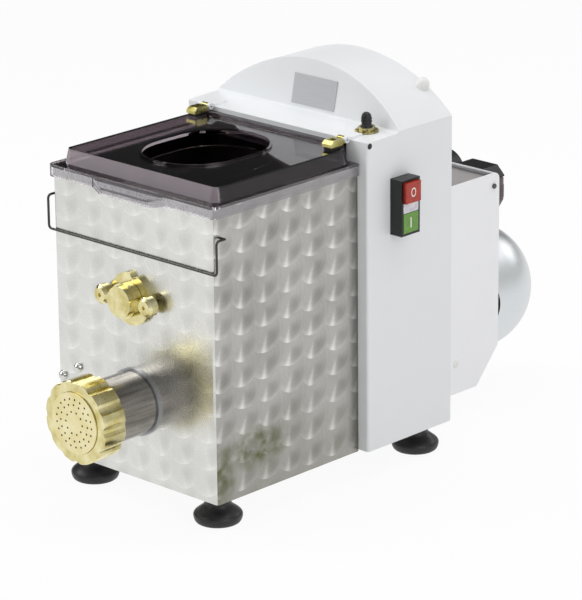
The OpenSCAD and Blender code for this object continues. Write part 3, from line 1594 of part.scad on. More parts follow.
module toggle_flange() {
    place() color([0.8, 0.72, 0.4]) on_ledge() difference() {
        union() {
            cylinder(r = toggle_flange_r, h = toggle_flange_t);
            cylinder(r = toggle_collar_r, h = toggle_collar_h);
            for (a = [45:90:315]) rotate([0, 0, a]) translate([toggle_flange_r - 2, 0, 0])
                cylinder(r = flange_screw_r, h = toggle_flange_t + 1.4, $fn = 24);
        }
        translate([0, 0, -over]) cylinder(r = boot_ball_r + slide_fit, h = toggle_collar_h + 2 * over);
        toggle_pin(toggle_pin_r + run_fit, toggle_collar_r + over);
    }
}

module toggle_boot() {
    place() color([0.06, 0.06, 0.06]) on_ledge() difference() {
        union() {
            translate([0, 0, toggle_pin_h]) {
                sphere(r = boot_ball_r);
                cylinder(r = boot_r, h = boot_h - toggle_pin_h - boot_r);
            }
            translate([0, 0, boot_h - boot_r]) sphere(r = boot_r);
            for (z = [boot_h * 0.5, boot_h * 0.65]) translate([0, 0, z]) cylinder(r = boot_r + 0.5, h = 1.2);
        }
        translate([0, 0, -boot_h]) cylinder(r = lever_r + run_fit, h = 2 * boot_h - boot_r - 1);
        toggle_pin(toggle_pin_r + run_fit, toggle_collar_r);
    }
}

module toggle_lever() {
    place() color("silver") on_ledge() {
        translate([0, 0, -casing_t / 2]) cylinder(r = lever_r, h = boot_h - boot_r - 1.5 + casing_t / 2);
        toggle_pin(toggle_pin_r, toggle_collar_r - seat_fit);
    }
}

// ---- Rating plate ----

module rating_plate() {
    foot_y = box_d + ledge_d;
    foot_z = ledge_at(foot_y) + arch_foot_r;
    lean = atan(arch_lean / (arch_top_z - ledge_at(foot_y)));
    place() color([0.7, 0.71, 0.72]) translate([rating_x, foot_y, foot_z]) rotate([-lean, 0, 0])
        block(-plate_w / 2, plate_w / 2, -rating_t, 0, rating_up, rating_up + rating_h);
}

base_plate();
foot_front_left();
foot_front_right();
foot_rear_left();
foot_rear_right();
foot_bolts();
steel_casing();
panel_screws();
mixing_tank();
tank_seals();
extruder_tube();
tube_ring();
auger();
die();
ring_nut();
front_bearing();
nut_washer();
wing_nut();
mixer_shaft();
mixer_paddles();
lid();
lid_straps();
strap_pads();
hinge_leaves();
hinge_pins();
wire_bail();
gear_casing();
rear_cover();
round_plug();
gear_plate_front();
gear_plate_rear();
gear_posts();
drive_shaft();
mixer_gear();
main_wheel();
auger_gear();
counter_shaft();
counter_gear();
shaft_bearings();
motor_body();
motor_shields();
motor_shaft();
rotor();
cooling_fan();
fan_cowl();
motor_cover();
top_panel();
cover_screws();
terminal_box();
cable_gland();
capacitor();
switch_body();
stop_button();
pilot_lens();
start_button();
contact_blocks();
toggle_flange();
toggle_boot();
toggle_lever();
rating_plate();
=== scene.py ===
import math

import bpy
from mathutils import Matrix, Vector


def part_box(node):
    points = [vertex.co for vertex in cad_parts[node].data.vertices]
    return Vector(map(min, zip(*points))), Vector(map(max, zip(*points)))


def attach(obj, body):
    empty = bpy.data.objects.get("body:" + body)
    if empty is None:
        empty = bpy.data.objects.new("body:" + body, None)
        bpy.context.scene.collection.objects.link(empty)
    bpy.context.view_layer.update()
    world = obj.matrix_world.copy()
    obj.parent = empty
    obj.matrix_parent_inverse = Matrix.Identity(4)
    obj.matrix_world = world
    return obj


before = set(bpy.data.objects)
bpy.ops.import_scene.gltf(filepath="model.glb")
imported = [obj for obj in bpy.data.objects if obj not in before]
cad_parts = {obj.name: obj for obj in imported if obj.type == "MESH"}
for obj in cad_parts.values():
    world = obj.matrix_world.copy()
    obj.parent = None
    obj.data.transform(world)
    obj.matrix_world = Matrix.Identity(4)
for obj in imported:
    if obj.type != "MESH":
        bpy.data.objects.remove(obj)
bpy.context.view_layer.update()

scene = bpy.context.scene

# ---- Places on the machine ----
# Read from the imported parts, in metres
MM = 0.001
BOX_LOW, BOX_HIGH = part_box("steel_casing")
CASING_LOW, CASING_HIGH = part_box("gear_casing")
COVER_LOW, COVER_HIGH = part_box("motor_cover")
# The middle of the steel box's front, at the height of the table
FRONT = Vector(((BOX_LOW.x + BOX_HIGH.x) / 2, BOX_LOW.y, 0.0))

# ---- Camera ----
# A long lens, to the right of the front and a little above
CAMERA_PLACE = FRONT + Vector((2.44465, -2.325576, 1.340011))
AZIMUTH = math.radians(43.718)
ELEVATION = math.radians(18.354)
ROLL = math.radians(-0.562)
camera_data = bpy.data.cameras.new("camera")
camera_data.lens = 210.0
camera_data.sensor_width = 36.0
camera_data.clip_start = 0.1
camera_data.clip_end = 60.0
camera = bpy.data.objects.new("camera", camera_data)
scene.collection.objects.link(camera)
scene.camera = camera
forward = Vector((-math.sin(AZIMUTH) * math.cos(ELEVATION),
                  math.cos(AZIMUTH) * math.cos(ELEVATION), -math.sin(ELEVATION)))
right = Vector((math.cos(AZIMUTH), math.sin(AZIMUTH), 0.0))
up = right.cross(forward)
right_rolled = right * math.cos(ROLL) + up * math.sin(ROLL)
up_rolled = up * math.cos(ROLL) - right * math.sin(ROLL)
turn = Matrix((right_rolled, up_rolled, -forward)).transposed()
camera.matrix_world = Matrix.Translation(CAMERA_PLACE) @ turn.to_4x4()

# ---- Colours and nodes ----


def srgb(text):
    """Six hex digits of an sRGB colour, as linear values."""
    parts = [int(text[i:i + 2], 16) / 255 for i in (0, 2, 4)]
    return tuple(c / 12.92 if c <= 0.04045 else ((c + 0.055) / 1.055) ** 2.4 for c in parts) + (1.0,)


def grey(level):
    """A grey of a linear level."""
    return (level, level, level, 1.0)


def feed(owner, socket, value):
    """Links another node's output to a socket, or gives the socket a plain value."""
    if isinstance(value, bpy.types.NodeSocket):
        owner.node_tree.links.new(value, socket)
    else:
        socket.default_value = value


def find(sockets, key):
    """One of a node's sockets, by its number, its name or its identifier."""
    if isinstance(key, int):
        return sockets[key]
    return next(socket for socket in sockets if key in (socket.name, socket.identifier))


def add(owner, kind, *inputs, out=0, **settings):
    """Adds a node to a material or the world and returns its output called out. inputs
    fill its first sockets in order. Of the settings, a name in small letters is one of its
    properties, and a name with a capital is one of its sockets."""
    node = owner.node_tree.nodes.new("ShaderNode" + kind)
    for key, value in settings.items():
        if key[0].islower():
            setattr(node, key, value)
        else:
            feed(owner, find(node.inputs, key), value)
    for socket, value in zip(node.inputs, inputs):
        feed(owner, socket, value)
    return find(node.outputs, out)


# How a Mix node is set to mix colours, or vectors
COLOURS = {"data_type": "RGBA", "out": "Result_Color"}
VECTORS = {"data_type": "VECTOR", "out": "Result_Vector"}


def new_material(name):
    """A material with one Principled shader."""
    mat = bpy.data.materials.new(name)
    mat.use_nodes = True
    return mat


def surface(mat, **sockets):
    """Feeds the Principled shader's sockets, named with underscores for their spaces."""
    shader = mat.node_tree.nodes["Principled BSDF"]
    for name, value in sockets.items():
        feed(mat, shader.inputs[name.replace("_", " ")], value)


def in_mm(mat):
    """Where each point of the surface lies, in millimetres."""
    return add(mat, "VectorMath", add(mat, "TexCoord", out="Object"), operation="SCALE", Scale=1 / MM)


def patches(mat, place, size, detail=2.0, stretch=(1, 1, 1)):
    """Uneven patches of about size millimetres, drawn out along an axis by stretch."""
    scaled = add(mat, "VectorMath", place, tuple(1 / (size * s) for s in stretch), operation="MULTIPLY")
    return add(mat, "TexNoise", scaled, Scale=1.0, Detail=detail)


# Most values of such patches lie between these two
USUAL = (0.3, 0.7)


def tinted(mat, pattern, first, second):
    """A colour that goes from first to second as the pattern does."""
    share = add(mat, "MapRange", pattern, *USUAL, 0.0, 1.0)
    return add(mat, "Mix", **COLOURS, Factor_Float=share, A_Color=first, B_Color=second)


# ---- Finishes of one colour ----


def even_finish(name, colour, rough, metal=0.0, grain=0.05, grain_mm=6.0, bump=0.0, stretch=(1, 1, 1),
                shade=0.05):
    """A finish whose gloss wanders by grain and whose colour wanders by shade, in patches
    of grain_mm, with a relief of bump millimetres."""
    mat = new_material(name)
    place = in_mm(mat)
    uneven = patches(mat, place, grain_mm, 3.0, stretch)
    red_green_blue = srgb(colour)[:3]
    deeper = tuple(c * (1 - shade) for c in red_green_blue) + (1.0,)
    paler = tuple(min(1.0, c * (1 + shade / 2)) for c in red_green_blue) + (1.0,)
    surface(mat, Metallic=metal, Base_Color=tinted(mat, uneven, deeper, paler),
            Roughness=add(mat, "MapRange", uneven, *USUAL, rough - grain, rough + grain))
    if bump:
        relief = patches(mat, place, grain_mm / 4, 2.0, stretch)
        surface(mat, Normal=add(mat, "Bump", Height=relief, Strength=0.3, Distance=bump * MM))
    return mat


# Powder-coated steel of the gear casing: white and smooth, with the faintest orange peel
white_paint = even_finish("white_paint", "ECEEF0", 0.38, grain=0.04, grain_mm=40, bump=0.03, shade=0.008)
# Powder-coated steel of the motor cover: a whiter white, a little duller
cover_paint = even_finish("cover_paint", "F7F7F9", 0.42, grain=0.04, grain_mm=40, bump=0.03, shade=0.008)
# Painted steel of the panel on the motor cover: a flat grey
grey_panel = even_finish("grey_panel", "A09C9C", 0.6, grain_mm=20, bump=0.04)
# Brushed stainless steel: soft streaks from side to side
brushed_steel = even_finish("brushed_steel", "B9B9B6", 0.3, 1.0, grain=0.06, grain_mm=3, stretch=(12, 1, 1))
# Turned steel of shafts, gears and bolts: an even grey
machined_steel = even_finish("machined_steel", "A2A3A6", 0.35, 1.0, grain_mm=4)
# Stainless steel of the tank, dull, with painted shade: darker as it lies below the smoked lid
tank_steel_in_shade = even_finish("tank_steel_in_shade", "5A534E", 0.42, 1.0, grain=0.08, grain_mm=12, stretch=(4, 1, 1))
# Drawn steel wire of the bail: glossy, and dark as a painted dark reflection
wire_steel = even_finish("wire_steel", "494947", 0.24, 1.0, grain=0.06)
# Polished steel of screws and pins: bright, with sharp reflections
polished_steel = even_finish("polished_steel", "D8D8D6", 0.14, 1.0, grain=0.04, grain_mm=3,
                             stretch=(1, 20, 1))
# Spun aluminium of the domed cowl: pale, with a soft broad shine
spun_aluminium = even_finish("spun_aluminium", "DCDFE1", 0.38, 1.0, grain_mm=3, stretch=(1, 0.4, 1))
# Zinc-plated steel of the cover's screws, gone dull
dull_screw = even_finish("dull_screw", "5C5C60", 0.25, 1.0, grain=0.06, grain_mm=2)
# Cast aluminium of the motor: grey, with the grain of the mould
cast_aluminium = even_finish("cast_aluminium", "8A8D92", 0.55, 1.0, grain=0.06, grain_mm=5, bump=0.15)
# Stacked iron sheets of the rotor: a brownish grey
laminated_iron = even_finish("laminated_iron", "77716A", 0.5, 1.0, grain_mm=2)
# Moulded rubber of the feet, the seals and the toggle's boot: black, with a soft shine
black_rubber = even_finish("black_rubber", "0D0D0F", 0.42, grain=0.08, grain_mm=8, bump=0.05)
# Moulded ABS of the switch, the terminal box and the capacitor: black, a little glossier
black_plastic = even_finish("black_plastic", "09090B", 0.36, grain=0.06, grain_mm=10, bump=0.03)
# Moulded rubber of the cable gland, greyed by dust
gland_rubber = even_finish("gland_rubber", "5F5555", 0.5, grain=0.08, grain_mm=5, bump=0.05)
# Fibre of the pads under the hinge straps: nearly black, painted shade for the dark gap under the straps
dark_pad = even_finish("dark_pad", "15130F", 0.5)
# Moulded nylon of the plugs and the friction washer: white
white_plastic = even_finish("white_plastic", "EDEDEB", 0.4, grain=0.03, grain_mm=8)
# Anodised aluminium of the blank plate on the arch, brushed along its length
plate_grey = even_finish("plate_grey", "BEC0C3", 0.42, 0.35, grain=0.07, grain_mm=2, stretch=(14, 1, 1))

# ---- Brass ----
# How wide the patches are that the buffing left, in millimetres
BUFFED_WIDTH = 14.0


def brass(name, colour, pale, rough):
    """Buffed brass: its colour and its gloss wander together."""
    mat = new_material(name)
    buffed = patches(mat, in_mm(mat), BUFFED_WIDTH, 3.0)
    surface(mat, Metallic=1.0, Base_Color=tinted(mat, buffed, srgb(colour), srgb(pale)),
            Roughness=add(mat, "MapRange", buffed, *USUAL, rough - 0.05, rough + 0.06))
    return mat


# The nuts and the bearing are polished, and the die is turned and duller
nut_brass = brass("nut_brass", "C8BA78", "EFE8BA", 0.19)
die_brass = brass("die_brass", "E2D69C", "F1E8BE", 0.34)
# The hinge straps have an olive tone, and the toggle's flange is a darker brass
hinge_brass = brass("hinge_brass", "A2974A", "E4DC96", 0.24)
darker_brass = brass("darker_brass", "6A6036", "CFC692", 0.28)

# ---- Drawn tube ----
# How wide its polishing lines and its bands of painted dark reflection are, in millimetres.
# Real lines are finer, and these are wide enough to show.
LINE_WIDTH = 3.2
REFLECTION_BAND_WIDTH = 15.0


def drawn(name, dark, pale, rough):
    """Drawn stainless tube along Y: long polishing lines and long bands of painted dark
    reflection, so its colour runs in dark and pale streaks."""
    mat = new_material(name)
    place = in_mm(mat)
    lines = patches(mat, place, LINE_WIDTH, 3.0, (1, 26, 1))
    # Broad bands of painted dark reflection along the tube
    reflection_bands = patches(mat, place, REFLECTION_BAND_WIDTH, 1.0, (1, 12, 1))
    reflection_bands = add(mat, "Math", reflection_bands, 0.6, operation="MULTIPLY")
    lines_and_reflections = add(mat, "Math", lines, 0.4, reflection_bands, operation="MULTIPLY_ADD")
    surface(mat, Metallic=1.0, Base_Color=tinted(mat, lines_and_reflections, srgb(dark), srgb(pale)),
            Roughness=add(mat, "MapRange", lines, *USUAL, rough, rough + 0.08))
    return mat


drawn_tube = drawn("drawn_tube", "4E4845", "C2BEB8", 0.12)

# ---- Engine-turned steel ----
# Round spots, ground one by one in rows. A spot lies over the row below it and over its
# right neighbour. Lengths are in millimetres.
SPOT_PITCH = (33.6, 27.5)
SPOT_RADIUS = 22.5
# How far the rows are moved along and up, and how far they wander, as shares of the pitch
SPOT_START = (0.27, 0.76)
ROW_WANDER = 0.3
# Which way the painted highlight, a bright wedge in each spot, points on the sides and on the
# front, and by how much that wanders. The painted shade, a dark patch, lies this far round from the wedge.
LEAN_SIDE = math.radians(-103)
LEAN_FRONT = math.radians(-80)
LEAN_WANDER = 0.35
DARK_TURN = 0.95
# How narrow the wedge and the dark patch are, and how close to a spot's edge the painted
# highlight on its rim and the step there lie
WEDGE_POWER = 55.0
DARK_POWER = 3.0
RIM_POWER = 8.0
STEP_POWER = 6.0
STEP_DEPTH = 0.2
# How wide the patches are in which the rows wander, the brightness wanders, the painted
# rim highlight fades and the stains are mottled
DRIFT_WIDTH = 90.0
CLOUD_WIDTH = 55.0
RIM_FADE_WIDTH = 13.0
MOTTLE_WIDTH = 16.0
# Real scratches are finer, and these are wide enough to show
SCRATCH_WIDTH = 1.1
# How much the plain brightness wanders
CLOUD = 0.15
# Olive stains low on the sides: how far behind the front and above the table they lie, and
# half their width and height
STAINS = (((60.0, 78.0), (52.0, 26.0)), ((8.0, 62.0), (22.0, 40.0)))
# The sides darken below this height, and more so by this share for each mm below it
FOOT_TOP = 150.0
FOOT_FADE = 0.009
FOOT_STRENGTH = 0.32
# A strip of painted shade starts this far in front of the gear casing and is full this far behind that
STRIP_START = 11.0
STRIP_FADE = 10.0
STRIP_STRENGTH = 0.55


def nearest_spot(mat, along, height, drift):
    """The way to each point from the centre of the spot that shows there."""
    shift = add(mat, "Math", drift, 2 * ROW_WANDER, -ROW_WANDER, operation="MULTIPLY_ADD")
    cells = []
    for axis, pitch, start in zip((along, height), SPOT_PITCH, SPOT_START):
        cell = add(mat, "Math", axis, 1 / pitch, start, operation="MULTIPLY_ADD")
        cells.append(add(mat, "Math", cell, shift, operation="ADD"))
    inside = add(mat, "VectorMath", add(mat, "CombineXYZ", *cells), operation="FRACTION")
    shown = None
    # Of the four spots around a point, each one here lies over those before it
    for corner in ((1, 0), (0, 0), (1, 1), (0, 1)):
        away = add(mat, "VectorMath", inside, corner + (0,), operation="SUBTRACT")
        way = add(mat, "VectorMath", away, SPOT_PITCH + (0,), operation="MULTIPLY")
        if shown is None:
            shown = way
            continue
        reach = add(mat, "VectorMath", way, operation="LENGTH", out="Value")
        covers = add(mat, "Math", reach, SPOT_RADIUS, operation="LESS_THAN")
        shown = add(mat, "Mix", **VECTORS, Factor_Float=covers, A_Vector=shown, B_Vector=way)
    return shown


def pointing(mat, angle, target, sharpness):
    """1 where angle is target, falling to 0 at a right angle from it."""
    turned = add(mat, "Math", add(mat, "Math", angle, target, operation="SUBTRACT"), operation="COSINE")
    turned = add(mat, "Math", turned, 0.0, operation="MAXIMUM")
    return add(mat, "Math", turned, sharpness, operation="POWER")


def oval_reach(mat, offsets, halves):
    """How far out in an oval with these half sizes the offsets lie, squared: 1 on its edge."""
    squares = []
    for offset, half in zip(offsets, halves):
        share = add(mat, "Math", offset, half, operation="DIVIDE")
        squares.append(add(mat, "Math", share, share, operation="MULTIPLY"))
    return add(mat, "Math", *squares, operation="ADD")


def with_stains_and_shade(mat, paint, place):
    """A side's paint, darker towards the bottom, with olive stains and a strip of painted shade by the gear
    casing.
    """
    along, height = add(mat, "SeparateXYZ", place).node.outputs[1:]
    foot = add(mat, "Math", height, -FOOT_FADE, FOOT_TOP * FOOT_FADE, operation="MULTIPLY_ADD",
               use_clamp=True)
    foot = add(mat, "Math", foot, FOOT_STRENGTH, operation="MULTIPLY")
    paint = add(mat, "Mix", **COLOURS, Factor_Float=foot, A_Color=paint, B_Color=srgb("6F6B58"))
    stained = 0.0
    for (behind, above), halves in STAINS:
        dy = add(mat, "Math", along, behind + FRONT.y / MM, operation="SUBTRACT")
        dz = add(mat, "Math", height, above, operation="SUBTRACT")
        near = add(mat, "Math", 1.0, oval_reach(mat, (dy, dz), halves), operation="SUBTRACT",
                   use_clamp=True)
        stained = add(mat, "Math", stained, near, operation="MAXIMUM")
    mottle = add(mat, "MapRange", patches(mat, place, MOTTLE_WIDTH, 3.0), *USUAL, 0.0, 1.3)
    stained = add(mat, "Math", stained, mottle, operation="MULTIPLY", use_clamp=True)
    paint = add(mat, "Mix", **COLOURS, Factor_Float=stained, A_Color=paint, B_Color=srgb("5E6040"))
    # Painted shade in a strip where the side meets the gear casing
    start = CASING_LOW.y / MM - STRIP_START
    strip = add(mat, "Math", along, 1 / STRIP_FADE, -start / STRIP_FADE, operation="MULTIPLY_ADD",
                use_clamp=True)
    strip = add(mat, "Math", strip, STRIP_STRENGTH, operation="MULTIPLY")
    return add(mat, "Mix", **COLOURS, Factor_Float=strip, A_Color=paint, B_Color=srgb("5A5A4C"))


def engine_turned(name, side, dark, pale, level, wedge, patch_and_rim, grit, rough, step):
    """Stainless sheet with overlapping ground spots. side picks the pair of axes, level is
    the plain brightness, wedge is how strong the painted highlight in each spot is, the next
    how strong the painted shade beside it and the painted highlight on its rim are, grit how
    strongly the scratches show, and step is how strongly a spot's rim stands out."""
    mat = new_material(name)
    place = in_mm(mat)
    across, behind, height = add(mat, "SeparateXYZ", place).node.outputs
    # The rows wander a little, because each spot was ground by hand
    drift = patches(mat, place, DRIFT_WIDTH, 1.0)
    spot = nearest_spot(mat, behind if side else across, height, drift)
    u, v = add(mat, "SeparateXYZ", spot).node.outputs[:2]
    angle = add(mat, "Math", v, u, operation="ARCTAN2")
    reach = add(mat, "VectorMath", spot, operation="LENGTH", out="Value")
    share = add(mat, "Math", reach, 1 / SPOT_RADIUS, operation="MULTIPLY")
    # The grinding marks lie in circles, so each spot shines in a wedge below its centre and is
    # dark beside the wedge: painted highlight in the wedge and painted shade beside it
    lean = LEAN_SIDE if side else LEAN_FRONT
    bottom = add(mat, "Math", drift, 2 * LEAN_WANDER, lean - LEAN_WANDER, operation="MULTIPLY_ADD")
    outward = add(mat, "Math", share, 1.3, -0.15, operation="MULTIPLY_ADD", use_clamp=True)
    painted_shine = pointing(mat, angle, bottom, WEDGE_POWER)
    painted_shine = add(mat, "Math", painted_shine, outward, operation="MULTIPLY")
    midway = add(mat, "Math", share, math.pi, operation="MULTIPLY")
    midway = add(mat, "Math", midway, operation="SINE")
    painted_dark = pointing(mat, angle, lean + DARK_TURN, DARK_POWER)
    painted_dark = add(mat, "Math", painted_dark, midway, operation="MULTIPLY")
    # Painted highlight on the rim below the centre, fading in patches
    rim_fade = add(mat, "MapRange", patches(mat, place, RIM_FADE_WIDTH), *USUAL, 0.0, 1.5)
    painted_rim = add(mat, "Math", share, RIM_POWER, operation="POWER")
    painted_rim = add(mat, "Math", painted_rim, rim_fade, operation="MULTIPLY")
    painted_rim = add(mat, "Math", painted_rim, pointing(mat, angle, bottom, 1.0), operation="MULTIPLY")
    # Grinding scratches run round the centre
    scratches = patches(mat, add(mat, "CombineXYZ", reach, drift), SCRATCH_WIDTH)
    tone = add(mat, "Math", scratches, grit, level - grit / 2, operation="MULTIPLY_ADD")
    cloud = patches(mat, place, CLOUD_WIDTH, 3.0)
    cloud = add(mat, "Math", cloud, 2 * CLOUD, -CLOUD, operation="MULTIPLY_ADD")
    tone = add(mat, "Math", tone, cloud, operation="ADD")
    # Painted highlight in the wedge, painted shade beside it and painted highlight on the rim
    tone = add(mat, "Math", painted_shine, wedge, tone, operation="MULTIPLY_ADD")
    tone = add(mat, "Math", painted_dark, -patch_and_rim, tone, operation="MULTIPLY_ADD")
    tone = add(mat, "Math", painted_rim, patch_and_rim, tone, operation="MULTIPLY_ADD", use_clamp=True)
    paint = add(mat, "Mix", **COLOURS, Factor_Float=tone, A_Color=srgb(dark), B_Color=srgb(pale))
    if side:
        paint = with_stains_and_shade(mat, paint, place)
    # Each spot is a shallow dish, so its rim shows as a fine step
    dish = add(mat, "Math", share, STEP_POWER, operation="POWER")
    surface(mat, Metallic=1.0, Base_Color=paint,
            Roughness=add(mat, "MapRange", scratches, *USUAL, rough, rough + 0.1),
            Normal=add(mat, "Bump", Height=dish, Strength=step, Distance=STEP_DEPTH * MM))
    return mat


# The sides are darker than the front, as painted shade, and their painted highlights and shade show more
# strongly
turned_front = engine_turned("turned_front", False, "8E8E86", "F4F4F1", level=0.68, wedge=0.10, patch_and_rim=0.12,
                             grit=0.12, rough=0.22, step=0.12)
turned_side = engine_turned("turned_side", True, "54524A", "F6F5F2", level=0.41, wedge=0.34, patch_and_rim=0.14,
                            grit=0.18, rough=0.27, step=0.3)

# ---- Smoked lid ----


def smoked(name, colour, deep, clear):
    """Moulded acrylic of the lid, glossy, with a faint cloud in its tint. clear is the
    share of light that goes through it."""
    mat = new_material(name)
    cloud = patches(mat, in_mm(mat), 30.0)
    tint = add(mat, "Mix", **COLOURS, Factor_Float=cloud, A_Color=srgb(colour), B_Color=srgb(deep))
    surface(mat, Base_Color=tint, Roughness=0.03, IOR=1.49, Transmission_Weight=clear)
    return mat


# The lid is smoked on top, paler and hazier in the front wall of its raised part, as painted
# light on the wall that faces the front, and nearly clear in its skirt
smoked_top = smoked("smoked_top", "B4A8AC", "A2969A", 1.0)
smoked_wall = smoked("smoked_wall", "A89DA4", "968B92", 1.0)
# Paler, hazier tint of the front wall: painted light
smoked_front = smoked("smoked_front", "B9ADB4", "A79BA2", 0.45)
smoked_skirt = smoked("smoked_skirt", "EDEBEE", "E0DDE2", 0.92)

# ---- Pilot lens and buttons ----


def lens_plastic(name, colour, pale):
    """Moulded polycarbonate of the unlit pilot lens: milky, with a soft shine."""
    mat = new_material(name)
    cloud = patches(mat, in_mm(mat), 6.0)
    surface(mat, Base_Color=tinted(mat, cloud, srgb(colour), srgb(pale)), Roughness=0.12)
    return mat


clear_lens = lens_plastic("clear_lens", "C9C4D4", "F4F2F2")

# The white marks on the buttons, in millimetres: half the width and height of the ring
# and of the bar, and how deep the paint lies on the face
RING_HALF = (3.1, 4.3)
BAR_HALF = (0.75, 5.6)
MARK_DEPTH = 0.5
# Half the ring's line, as a share of its size
RING_LINE = 0.16


def button(node_name, name, colour, deep, ring):
    """Moulded ABS of a button, glossy, with a white mark on its face: a ring, or a bar."""
    mat = new_material(name)
    place = in_mm(mat)
    across, along, height = add(mat, "SeparateXYZ", place).node.outputs
    low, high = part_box(node_name)
    middle = (low + high) / 2 / MM
    du = add(mat, "Math", along, middle.y, operation="SUBTRACT")
    dv = add(mat, "Math", height, middle.z, operation="SUBTRACT")
    if ring:
        reach = add(mat, "Math", oval_reach(mat, (du, dv), RING_HALF), operation="SQRT")
        off = add(mat, "Math", reach, 1.0, operation="SUBTRACT")
        off = add(mat, "Math", off, operation="ABSOLUTE")
        mark = add(mat, "Math", off, RING_LINE, operation="LESS_THAN")
    else:
        inside = []
        for offset, half in zip((du, dv), BAR_HALF):
            off = add(mat, "Math", offset, operation="ABSOLUTE")
            inside.append(add(mat, "Math", off, half, operation="LESS_THAN"))
        mark = add(mat, "Math", *inside, operation="MULTIPLY")
    on_face = add(mat, "Math", across, high.x / MM - MARK_DEPTH, operation="GREATER_THAN")
    mark = add(mat, "Math", mark, on_face, operation="MULTIPLY")
    body = tinted(mat, patches(mat, place, 5.0), srgb(colour), srgb(deep))
    paint = add(mat, "Mix", **COLOURS, Factor_Float=mark, A_Color=body, B_Color=srgb("F3F1E8"))
    surface(mat, Base_Color=paint, Roughness=0.25)
    return mat


stop_red = button("stop_button", "stop_red", "B8341F", "A02A1C", ring=True)
start_green = button("start_button", "start_green", "6FA03C", "5C8E38", ring=False)

# ---- Finishes on the CAD parts ----
FINISHES = {
    brushed_steel: ("base_plate", "mixer_shaft", "mixer_paddles"),
    machined_steel: ("foot_bolts", "tube_ring", "auger", "gear_plate_front", "gear_plate_rear",
                     "gear_posts", "drive_shaft", "mixer_gear", "main_wheel", "auger_gear",
                     "counter_shaft", "counter_gear", "shaft_bearings", "motor_shaft"),
    polished_steel: ("panel_screws", "hinge_pins", "toggle_lever"),
    dull_screw: ("cover_screws",),
    tank_steel_in_shade: ("mixing_tank",),
    drawn_tube: ("extruder_tube",),
    wire_steel: ("wire_bail",),
    spun_aluminium: ("fan_cowl",),
    cast_aluminium: ("motor_body", "motor_shields"),
    laminated_iron: ("rotor",),
    nut_brass: ("ring_nut", "front_bearing", "wing_nut"),
    die_brass: ("die",),
    hinge_brass: ("lid_straps",),
    darker_brass: ("toggle_flange",),
    white_paint: ("gear_casing", "rear_cover", "hinge_leaves"),
    cover_paint: ("motor_cover",),
    grey_panel: ("top_panel",),
    plate_grey: ("rating_plate",),
    white_plastic: ("nut_washer", "round_plug"),
    black_plastic: ("switch_body", "contact_blocks", "terminal_box", "capacitor", "cooling_fan"),
    black_rubber: ("foot_front_left", "foot_front_right", "foot_rear_left", "foot_rear_right",
                   "tank_seals", "toggle_boot"),
    gland_rubber: ("cable_gland",),
    dark_pad: ("strap_pads",),
    clear_lens: ("pilot_lens",),
    stop_red: ("stop_button",),
    start_green: ("start_button",),
}


def dress(obj, *finishes):
    """Gives an object these finishes in place of its own."""
    obj.data.materials.clear()
    for finish in finishes:
        obj.data.materials.append(finish)


for finish, node_names in FINISHES.items():
    for node_name in node_names:
        dress(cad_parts[node_name], finish)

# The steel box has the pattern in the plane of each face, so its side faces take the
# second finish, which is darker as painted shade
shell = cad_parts["steel_casing"]
dress(shell, turned_front, turned_side)
for face in shell.data.polygons:
    face.material_index = 1 if abs(face.normal.x) > 0.7 else 0

# The lid takes a finish for its level faces, for the walls above its plate, for the front
# one of them, which is paler as painted light, and for what is below
PLATE_TOP = BOX_HIGH.z + 3.5 * MM
FRONT_WALL = FRONT.y + 20 * MM
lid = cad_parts["lid"]
dress(lid, smoked_top, smoked_wall, smoked_skirt, smoked_front)
for face in lid.data.polygons:
    if abs(face.normal.z) > 0.9 and face.center.z > BOX_HIGH.z:
        face.material_index = 0
    elif face.center.z <= PLATE_TOP:
        face.material_index = 2
    elif face.normal.y < -0.5 and face.center.y < FRONT_WALL:
        face.material_index = 3
    else:
        face.material_index = 1

# Small bevels catch the light on edges that are never quite sharp, in millimetres
BEVELS = {
    "gear_casing": 1.2, "rear_cover": 1.2, "motor_cover": 1.0, "switch_body": 0.9, "stop_button": 1.0,
    "start_button": 0.5, "pilot_lens": 0.4, "lid": 1.0, "ring_nut": 0.7, "die": 0.15,
    "front_bearing": 0.6, "wing_nut": 1.3, "lid_straps": 0.6, "hinge_leaves": 0.4, "terminal_box": 0.8,
    "cable_gland": 0.4, "capacitor": 1.0, "toggle_flange": 0.3, "tube_ring": 0.6, "extruder_tube": 0.5,
    "strap_pads": 0.4, "round_plug": 0.4, "cover_screws": 0.4, "rating_plate": 0.1, "top_panel": 0.3,
    "steel_casing": 0.3, "foot_front_left": 0.8, "foot_front_right": 0.8, "foot_rear_left": 0.8,
    "foot_rear_right": 0.8,
}
for node_name, width in BEVELS.items():
    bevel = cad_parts[node_name].modifiers.new("soft_edges", "BEVEL")
    bevel.width = width * MM
    bevel.segments = 3 if node_name == "lid" else 2
    bevel.limit_method = "ANGLE"
    bevel.angle_limit = math.radians(40)
    bevel.harden_normals = False
    bevel.use_clamp_overlap = True

# ---- Small pieces that ride on the machine ----
HEAD_RINGS = 6
HEAD_SIDES = 28
# The slot's half width, as a share of the head's radius, its depth, as a share of the
# head's height, and how far it is turned from level
SLOT_HALF = 0.16
SLOT_DEPTH = 0.35
SLOT_TURN = math.radians(45)


